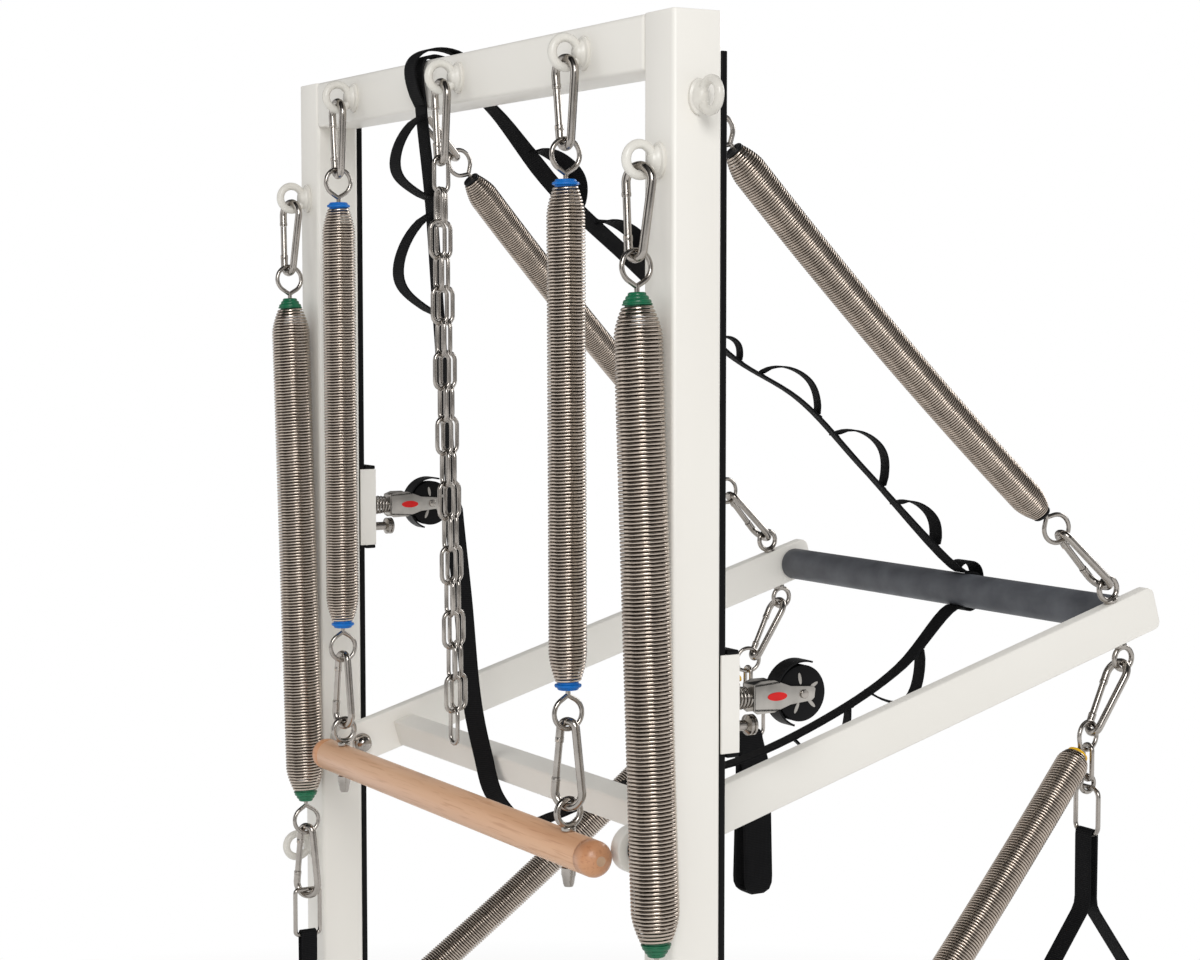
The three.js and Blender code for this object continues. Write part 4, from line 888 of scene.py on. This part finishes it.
# Roll-down bar
END_LENGTH, JOIN, DOME_SHARE = 23 * MM, 0.25 * MM, 0.72
low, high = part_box("roll_down_bar")
bar_radius, bar_middle = (high.z - low.z) / 2, (low + high) / 2
dome = [(bar_radius * math.sin(a), bar_radius * DOME_SHARE * (1 - math.cos(a)))
        for a in (math.radians(d) for d in (22, 35, 50, 65, 78, 90))]
end_profile = [(0, 0), (bar_radius * 0.3, 0.2 * MM), *dome, (bar_radius, END_LENGTH - JOIN),
               (bar_radius - JOIN, END_LENGTH), (0, END_LENGTH)]
plug = in_mm([(0, 0), (4.6, 0), (5, 0.5), (5, 4), (0, 4)])
left_end, right_end = (Vector((x, bar_middle.y, bar_middle.z)) for x in (low.x, high.x))
shaft_length = high.x - low.x - END_LENGTH * 2
piece("beech_bar", [
    (rod(left_end + X * END_LENGTH, X, bar_radius, shaft_length, JOIN, 56), BEECH),
    (turned(left_end, X, end_profile, 56, 60), BEECH_END),
    (turned(right_end, LEFT, end_profile, 56, 60), BEECH_END),
    (turned(right_end, LEFT, plug, 32), END_PLUG),
], "roll_down", "roll_down_bar", slot="beech")


def rod_ring(centre, radius, thick, first, second):
    """A closed ring of rod."""
    return wire(circle(centre, first, second, radius), thick, True), FITTING


ROLL_RING, ROLL_ROD, ROLL_COLLAR, ROLL_COLLAR_HEIGHT = 12.3 * MM, 3 * MM, 6.9 * MM, 4 * MM
acorn = in_mm([(0, 0), (6.9, 0), (6.9, 6.5), (6.2, 8.5), (5.2, 15), (4.2, 17.6), (0, 18)])
ring_z = BLUE_FOOT - ROLL_RING + ROLL_ROD + HOOK_ROD + BEAR
for side, sign in SIDES:
    spot = Vector(((BLUE_SHIFT + sign * BLUE_X) * MM, FRONT_PLANE, 0))
    piece(f"{side}_bar_eye", [
        rod_ring(spot + Z * ring_z, ROLL_RING, ROLL_ROD, Y, Z),
        (rod(spot + Z * (bar_middle.z + bar_radius), Z, ROLL_COLLAR, ROLL_COLLAR_HEIGHT, 0.7 * MM), FITTING),
        (turned(spot + Z * (bar_middle.z - bar_radius - GAP), DOWN, acorn), FITTING),
    ], "roll_down", f"{side}_roll_bar_eye_bolt")


# Push-through bar
ARM_BACK, ARM_LENGTH, ARM_HALF, ARM_TIP = -1.5, 672, 22.5, 8
ARM_THICK, ARM_MIDDLE = 15 * MM, ARM_X * MM
# round at the pivot end, square with rounded corners at the grip end
arm_outline = in_mm(
    flat_arc(ARM_BACK + ARM_HALF, 0, ARM_HALF, QUARTER, math.pi, 16)
    + flat_arc(ARM_LENGTH - ARM_TIP, ARM_TIP - ARM_HALF, ARM_TIP, -QUARTER, QUARTER, 6)
    + flat_arc(ARM_LENGTH - ARM_TIP, ARM_HALF - ARM_TIP, ARM_TIP, 0, QUARTER, 6)
)
arms = []
for side, sign in SIDES:
    foot = on_bar(sign * ARM_MIDDLE, 0, 0)
    arms.append((plate(arm_outline, foot, BAR_AXIS, BAR_NORMAL, ARM_THICK, 1.5 * MM, 3), COAT))
inner, outer = ARM_MIDDLE - ARM_THICK / 2, ARM_MIDDLE + ARM_THICK / 2
brace = block(on_bar(0, 83, -5.5), ((inner + MM) * 2, 26 * MM, 30 * MM), 3 * MM, (X, BAR_AXIS, BAR_NORMAL))
piece("bar_frame", [*arms, (brace, COAT)], "push_bar", "push_bar_frame", slot="bar_paint")

pad_half = inner - GAP
sleeve = rod(on_bar(-pad_half, PAD_ALONG, PAD_RISE), X, PAD_RADIUS * MM, pad_half * 2, 2 * MM, 48)
pad = piece("grip_sleeve", [(sleeve, FOAM)], "push_bar", "grip_pad", slot="foam")

PIVOT_ALONG, BOLT, BOLT_LENGTH = 26, 6 * MM, 60 * MM
WASHER, WASHER_RADIUS, SPACER_RADIUS = 4.5 * MM, 18.4 * MM, 15.4 * MM
COLLAR, COLLAR_HEIGHT = 6.9 * MM, 3.4 * MM
pivot = on_bar(0, PIVOT_ALONG, 0)
cap_nut = in_mm([(0, 0), (11.2, 0), (11.2, 1.8), (8.8, 2.1), (9.2, 3), (9.4, 6), (8.6, 9), (6.6, 11.5),
                 (3.6, 12.8), (0, 13)])
for side, sign in SIDES:
    outward = X * sign
    nut_start, washer_start = pivot + outward * (inner - GAP), pivot + outward * (outer + GAP)
    spacer_start, spacer_length = washer_start + outward * WASHER, INNER_FACE - outer - WASHER - GAP * 2
    piece(f"{side}_pivot", [
        (turned(nut_start, -outward, cap_nut, 32), FITTING),
        (rod(nut_start, outward, BOLT, BOLT_LENGTH, 0.5 * MM, 24), FITTING),
        (rod(washer_start, outward, WASHER_RADIUS, WASHER, 1.6 * MM, 48), RUBBER),
        (rod(spacer_start, outward, SPACER_RADIUS, spacer_length, 0.8 * MM, 48), WHITE_PLASTIC),
    ], "tower", f"{side}_pivot_bolt")

    shapes = []
    for rise, facing, face_rise in ((UPPER_RISE, BAR_NORMAL, 22.8), (LOWER_RISE, -BAR_NORMAL, -22.8)):
        centre, face = (on_bar(sign * ARM_MIDDLE, ARM_EYE_ALONG, r) for r in (rise, face_rise))
        shapes.append(rod_ring(centre, BAR_EYE_RING, BAR_EYE_ROD, BAR_AXIS, BAR_NORMAL))
        shapes.append((rod(face, facing, COLLAR, COLLAR_HEIGHT, 0.6 * MM, 32), FITTING))
    piece(f"{side}_arm_eyes", shapes, "push_bar", f"{side}_bar_eye_bolt")


# Links, foot loop and handles

def oval(start, direction, side, length, width, thick, steps=14):
    """A long link: two half rounds and two straights."""
    radius = width / 2
    points = []
    for centre, first in ((radius, QUARTER), (length - radius, QUARTER * 3)):
        points += arc(start + direction * centre, direction, side, radius, first, math.pi, steps)
    return wire(points, thick, True), FITTING


def web_frame(start, side, length, width, corner=9 * MM):
    """A flat-ended link for webbing, hanging down from its start."""
    flat = width / 2 - corner
    points = []
    for along, aside, first in ((corner, flat, 1), (corner, -flat, 2), (length - corner, -flat, 3),
                                (length - corner, flat, 0)):
        points += arc(start + DOWN * along + side * aside, DOWN, side, corner, QUARTER * first, QUARTER, 6)
    return [(wire(points, SMALL_ROD, True), FITTING)]


def web_loop(rod_middle, rod_direction, width, thickness, split, drop, spread):
    """Webbing over a rod, its two legs apart at the foot."""
    wrap = SMALL_ROD + thickness / 2 + BEAR
    side = rod_direction.cross(Z)
    top = flat_arc(0, 0, wrap * STRAP_SLACK, math.pi, -math.pi, 8)
    right = [(wrap, -split), (spread / 2, -drop + spread * 0.12), (spread * 0.44, -drop)]
    left = [(-u, z) for u, z in reversed(right)]
    line = [rod_middle + side * u + Z * z for u, z in left + top + right]
    dense = []
    for here, there in zip(line, line[1:] + line[:1]):
        parts = max(1, round((there - here).length / (8 * MM)))
        dense += [here.lerp(there, k / parts) for k in range(parts)]
    smooth = [(dense[i - 1] + dense[i] * 2 + dense[(i + 1) % len(dense)]) / 4 for i in range(len(dense))]
    return swept(smooth, flat_section(width, thickness), rod_direction, True), WEBBING


def hand_grip(rod_middle, side, drop, spread):
    """The rigid grip at the foot of a handle."""
    foot = rod_middle + DOWN * (drop - 3.4 * MM)
    reach = spread * 0.44
    return rod(foot - side * reach, side, 13 * MM, reach * 2, 3 * MM, 32), RUBBER


WEB, WEB_CLEAR = 2.4 * MM, 8 * MM
QUICK_LINK, QUICK_WIDE, LITTLE_RING = 36 * MM, 13 * MM, 8.5 * MM
FOOT_FRAME, FOOT_WIDE, FOOT_THICK, FOOT_DROP = 58 * MM, 46 * MM, 6 * MM, 196 * MM
HAND_FRAME, HAND_WIDE, GREEN_FRAME, GREEN_WIDE = 48 * MM, 34 * MM, 52 * MM, 30 * MM
HAND_DROP, HAND_SPREAD, GREEN_SPREAD = 190 * MM, 150 * MM, 120 * MM
for side, sign in SIDES:
    link_top = handle_tops[side]
    body = f"{side}_handle_hanger"
    quick_link = oval(link_top, DOWN, X, QUICK_LINK, QUICK_WIDE, SMALL_ROD)
    if sign < 0:
        frame_top = link_top + DOWN * (QUICK_LINK - SMALL_ROD * 2 - BEAR)
        piece("left_small_link", [quick_link], body, "left_handle_link")
        piece("left_shackle", web_frame(frame_top, Y, FOOT_FRAME, FOOT_WIDE), body, "left_handle_shackle")
        rod_middle = frame_top + DOWN * FOOT_FRAME
        band = web_loop(rod_middle, Y, FOOT_WIDE - WEB_CLEAR - WEB, FOOT_THICK, 6 * MM, FOOT_DROP, 26 * MM)
        loop = piece("left_foot_pad", [band], body, "left_foot_loop", slot="webbing")
        # the pad widens below the rod, hangs a little back and has a rounded end
        foot = min(v.co.z for v in loop.data.vertices)
        for vert in loop.data.vertices:
            depth = ease(vert.co.z, foot + 20 * MM, foot)
            below = ease(vert.co.z, rod_middle.z, rod_middle.z - 40 * MM)
            width = (1 + 0.2 * below) * math.sqrt(1 - 0.86 * depth ** 2)
            vert.co.y = rod_middle.y + 8 * MM * below + (vert.co.y - rod_middle.y) * width
    else:
        ring_top = link_top + DOWN * (QUICK_LINK - SMALL_ROD * 1.6)
        frame_top = ring_top + DOWN * (LITTLE_RING * 2 - SMALL_ROD * 2 - BEAR)
        little_ring = rod_ring(ring_top + DOWN * LITTLE_RING, LITTLE_RING, SMALL_ROD, Y, Z)
        piece("right_small_links", [quick_link, little_ring], body, "right_handle_link")
        piece("right_shackle", web_frame(frame_top, X, HAND_FRAME, HAND_WIDE), body, "right_handle_shackle")
        rod_middle = frame_top + DOWN * HAND_FRAME
        band = web_loop(rod_middle, X, HAND_WIDE - WEB_CLEAR - WEB, WEB, 75 * MM, HAND_DROP, HAND_SPREAD)
        grip = hand_grip(rod_middle, Y, HAND_DROP, HAND_SPREAD)
        piece("right_hand_loop", [band, grip], body, "right_handle", slot="webbing")
    frame_top = green_ends[side] + Z * (HOOK_ROD + SMALL_ROD + BEAR)
    body = f"{side}_green_pull"
    frame_wire = web_frame(frame_top, Y, GREEN_FRAME, GREEN_WIDE, 4 * MM)
    piece(f"{side}_green_frame", frame_wire, body, f"{side}_green_ring")
    rod_middle = frame_top + DOWN * GREEN_FRAME
    band = web_loop(rod_middle, Y, GREEN_WIDE - WEB_CLEAR - WEB, WEB, 40 * MM, HAND_DROP, GREEN_SPREAD)
    grip = hand_grip(rod_middle, X, HAND_DROP, GREEN_SPREAD)
    piece(f"{side}_green_grip", [band, grip], body, f"{side}_green_handle", slot="webbing")


# Chain: two strands from one hook, meeting in a last single link
LINK, LINK_WIDE, LINK_ROD, STRAND_LINKS = 41 * MM, 20 * MM, 2.2 * MM, 17
CHAIN_LEAN, STRANDS_APART, LINK_PLAY = 17 * MM, 12.6 * MM, 0.5 * MM
hook_top = Vector((0, FRONT_PLANE, level(BEAM_EYE_DROP) - HOOK_SEAT))
hook("chain_snap_hook", "chain_hook", "hanging_chain", hook_top, DOWN, X)
chain_top = hook_top.z - HOOK_SPAN + HOOK_ROD + BEAR
link_long, link_wide = LINK - LINK_ROD * 2, LINK_WIDE - LINK_ROD * 2
links = []
for offset in (0, 1):
    for i in range(offset, STRAND_LINKS + offset):
        share = i / (STRAND_LINKS - 1)
        aside = offset * STRANDS_APART * min(1, i / 2)
        height = chain_top + LINK_ROD - i * (LINK - LINK_ROD * 4 + LINK_PLAY)
        top = Vector((aside, FRONT_PLANE + CHAIN_LEAN * share - aside, height))
        links.append(oval(top, DOWN, X if i % 2 else Y, link_long, link_wide, LINK_ROD, 8))
piece("chain_strands", links, "hanging_chain", "chain")


# Carriages, pull pins and pulleys
CARRIAGE_CAP, CARRIAGE_LIP, CHANNEL_BACK = 4 * MM, 2 * MM, 56.6 * MM
FORK_FACE, AXLE_Y, FORK_COIL, SHEET = 69.6 * MM, 150.08 * MM, 26 * MM, 2 * MM
COIL_TURNS, COIL_STEPS, GUARD_RADIUS, LEAF_RADIUS, LEAVES = 6, 144, 30 * MM, 14 * MM, 5
# cheeks: wide at the bracket, waisted to a rounded end past the axle
cheek = in_mm([(0, -12), (4, -14.8), (22, -14.4), (40, -8.6), (63, -6.6), (66, -4), (67, 4), (65, 6.4),
               (40, 8.4), (22, 15), (8, 15), (0, 12)])
red_oval = in_mm(flat_arc(25, 0, 10.5, 0, TURN, 28, 3.9)[:-1])
guard_strip = in_mm([(-9.5, -0.9), (9.5, -0.9), (9.5, 0.9), (-9.5, 0.9)])
wheel_rim = in_mm([(3.5, 0), (22, 0), (25.4, 0.6), (26, 1.6), (26, 2.6), (22.4, 6), (26, 9.4), (26, 10.4),
                   (25.4, 11.4), (22, 12), (3.5, 12), (3.5, 0)])
wheel_half = 6 * MM
leaf = in_mm(flat_arc(0, 0, 5.5, 0, TURN, 16, 1.7)[:-1])


def carriage(x, low, high):
    """A channel round the track, open to the front, between two black end caps."""
    size, middle_z, wall = high - low, (low.z + high.z) / 2, (high.x - low.x) / 2
    inside, back = wall - CARRIAGE_LIP, CHANNEL_BACK - low.y
    channel = [(-wall, 0), (-inside, 0), (-inside, back), (inside, back), (inside, 0), (wall, 0),
               (wall, size.y), (-wall, size.y)]
    origin = Vector((x, low.y, middle_z))
    shapes = [(plate(channel, origin, X, Y, size.z - CARRIAGE_CAP * 2, 0.6 * MM), COAT)]
    cap_size = (size.x - 0.6 * MM, size.y - 7 * MM, CARRIAGE_CAP)
    for edge in (-1, 1):
        spot = Vector((x, (low.y + high.y) / 2 + 3 * MM, middle_z + edge * (size.z - CARRIAGE_CAP) / 2))
        shapes.append((block(spot, cap_size, 1.2 * MM), BLACK_PLASTIC))
    return shapes


def pin_profile(long, knob):
    """A pull pin's stem and its knob with a grooved rim, in millimetres."""
    return in_mm([
        (0, 0), (4.8, 0), (4.8, long - 9), (knob * 0.7, long - 8.4), (knob, long - 7), (knob, long - 5.2),
        (knob * 0.86, long - 4.4), (knob * 0.86, long - 3.4), (knob, long - 2.6), (knob, long - 0.6),
        (knob - 0.6, long), (0, long),
    ])


def bracket(x, z, half_width):
    """The fork: spring and stem, two cheeks with red ovals, a back, the guard's two strips and the axle."""
    fork_start, axle = FORK_FACE + FORK_COIL, Vector((x, AXLE_Y, z))
    spot = Vector((x, fork_start, z))
    coil = [Vector((x + r * math.cos(a), FORK_FACE + (1.4 + 23.4 * t) * MM, z + r * math.sin(a)))
            for t, a, r in ((t, TURN * COIL_TURNS * t, (10.6 - 2 * t) * MM)
                            for t in (i / COIL_STEPS for i in range(COIL_STEPS + 1)))]
    shapes = [(wire(coil, 1.3 * MM), FITTING),
              (rod(Vector((x, FORK_FACE - 7.7 * MM, z)), Y, 4.4 * MM, 34 * MM, 0.4 * MM, 24), PRESSED)]
    for edge in (-1, 1):
        outward = X * edge
        shapes += [
            (plate(cheek, spot + outward * (half_width - SHEET / 2), Y, Z, SHEET, 0.5 * MM), PRESSED),
            (plate(red_oval, spot + outward * (half_width + 0.1 * MM), Y, Z, 0.8 * MM), RED_PLASTIC),
            (rod(axle + outward * half_width, outward, 4.2 * MM, 1.8 * MM, 0.7 * MM, 24), FITTING),
        ]
    shapes.append((block(spot + Y * MM, (half_width * 2, SHEET, 24 * MM), 0.5 * MM), PRESSED))
    for sense, sweep in ((1, 83), (-1, 45)):
        guard = arc(axle, Y, Z, GUARD_RADIUS, sense * math.radians(155), -sense * math.radians(sweep), 16)
        foot = spot + Y * MM + Z * (sense * 11 * MM)
        shapes.append((swept([foot, *guard], guard_strip, X), BLACK_PLASTIC))
    shapes.append((rod(axle - X * half_width, X, 3 * MM, half_width * 2, 0.4 * MM, 20), FITTING))
    return shapes


def wheel(x, z):
    """A grooved wheel with five leaf-shaped marks on each side."""
    shapes = [(turned(Vector((x - wheel_half, AXLE_Y, z)), X, wheel_rim, 56), BLACK_PLASTIC)]
    for angle in (TURN * i / LEAVES + 0.5 for i in range(LEAVES)):
        out = Vector((0, math.cos(angle), math.sin(angle)))
        for edge in (-1, 1):
            centre = Vector((x + edge * wheel_half, AXLE_Y, z)) + out * LEAF_RADIUS
            shapes.append((plate(leaf, centre, out, X.cross(out), 0.5 * MM), PRESSED))
    return shapes


for (side, sign), drop in zip(SIDES, CARRIAGE_DROPS):
    x, z = sign * TRACK_X * MM, level(drop)
    shapes = carriage(x, *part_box(f"{side}_carriage"))
    piece(f"{side}_slide_block", shapes, f"{side}_slider", f"{side}_carriage", slot="bar_paint")
    low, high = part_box(f"{side}_pull_pin")
    profile = pin_profile((high.y - low.y) / MM, (high.x - low.x) / 2 / MM)
    pin = turned(Vector((x, low.y, (low.z + high.z) / 2)), Y, profile)
    piece(f"{side}_pin_knob", [(pin, FITTING)], f"{side}_pin", f"{side}_pull_pin")
    low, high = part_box(f"{side}_pulley_fork")
    shapes = bracket(x, z, (high.x - low.x) / 2 - SHEET)
    piece(f"{side}_pulley_bracket", shapes, f"{side}_fork", f"{side}_pulley_fork", slot="satin_steel")
    piece(f"{side}_sheave_wheel", wheel(x, z), f"{side}_sheave", f"{side}_pulley_wheel",
          slot="black_plastic")


# Floor and light
FLOOR_RADIUS, FADE_FROM, FADE_TO = 14, 1.6, 3.6


def floor_material():
    """Pale floor near the object; far off it meets the white of the backdrop."""
    material, tree, shader = new_material("floor", (0.86, 0.86, 0.855), 0.9)
    where = add(tree, "TexCoord").outputs["Object"]
    distance = add(tree, "VectorMath", {0: where}, operation="LENGTH").outputs["Value"]
    fade = add(tree, "MapRange", {"Value": distance, "From Min": FADE_FROM, "From Max": FADE_TO})
    glow = add(tree, "Emission", {"Strength": 1.0}).outputs["Emission"]
    mix = add(tree, "MixShader", {"Fac": fade.outputs["Result"], 1: shader.outputs["BSDF"], 2: glow})
    tree.links.new(mix.outputs["Shader"], tree.nodes["Material Output"].inputs["Surface"])
    return material


floor_shell = bmesh.new()
bmesh.ops.create_circle(floor_shell, cap_ends=True, segments=64, radius=FLOOR_RADIUS)
floor_mesh = bpy.data.meshes.new("floor")
floor_shell.to_mesh(floor_mesh)
floor_shell.free()
floor_mesh.materials.append(floor_material())
floor = bpy.data.objects.new("floor", floor_mesh)
bpy.context.scene.collection.objects.link(floor)


def greys(*stops):
    return [(place, (grey,) * 3) for place, grey in stops]


world = bpy.data.worlds.new("studio")
bpy.context.scene.world = world
world.use_nodes = True
sky = world.node_tree
path = add(sky, "LightPath").outputs
seen = add(sky, "Math", {0: path["Is Camera Ray"], 1: path["Is Transmission Ray"]}, operation="MAXIMUM")
toward = add(sky, "SeparateXYZ", {"Vector": add(sky, "TexCoord").outputs["Generated"]}).outputs
around = add(sky, "Math", {0: toward["Y"], 1: toward["X"]}, operation="ARCTAN2").outputs["Value"]
turn_share = add(sky, "MapRange", {"Value": around, "From Min": -math.pi, "From Max": math.pi})
height_share = add(sky, "MapRange", {"Value": toward["Z"], "From Min": -0.5, "From Max": 1.0})
# softboxes and dark gaps round the room, as share of a turn from -X, then from low to high
room = ramp(sky, turn_share.outputs["Result"], *greys(
    (0.0, 0.25), (0.1, 0.9), (0.2, 0.1), (0.28, 0.05), (0.34, 0.85), (0.4, 1.0), (0.46, 0.12), (0.53, 0.05),
    (0.6, 0.7), (0.68, 0.8), (0.76, 0.08), (0.9, 0.3),
))
rise = ramp(sky, height_share.outputs["Result"], *greys(
    (0.0, 0.2), (0.26, 0.8), (0.5, 1.0), (0.68, 0.16), (1.0, 0.08),
))
graded = mixed(sky, 1.0, room, rise, "MULTIPLY")
plain = mixed(sky, path["Is Glossy Ray"], (0.58, 0.58, 0.58, 1), graded)
shown = mixed(sky, seen.outputs["Value"], plain, (1, 1, 1, 1))
sky.links.new(shown, sky.nodes["Background"].inputs["Color"])


def lamp(name, place, size, power):
    """An area lamp that points at the middle of the tower."""
    data = bpy.data.lights.new(name, "AREA")
    data.shape = "RECTANGLE"
    data.size, data.size_y = size
    data.energy = power
    made = bpy.data.objects.new(name, data)
    made.location = place
    made.rotation_euler = (Vector((0, 0.2, 1.2)) - place).to_track_quat("-Z", "Y").to_euler()
    bpy.context.scene.collection.objects.link(made)


lamp("key", Vector((5.44, -2.18, 4.26)), (2.7, 2.7), 179)
lamp("front", Vector((-1.6, -3.4, 2.2)), (1.4, 2.2), 10)
lamp("back", Vector((-0.6, 3.2, 2.6)), (1.6, 1.2), 35)
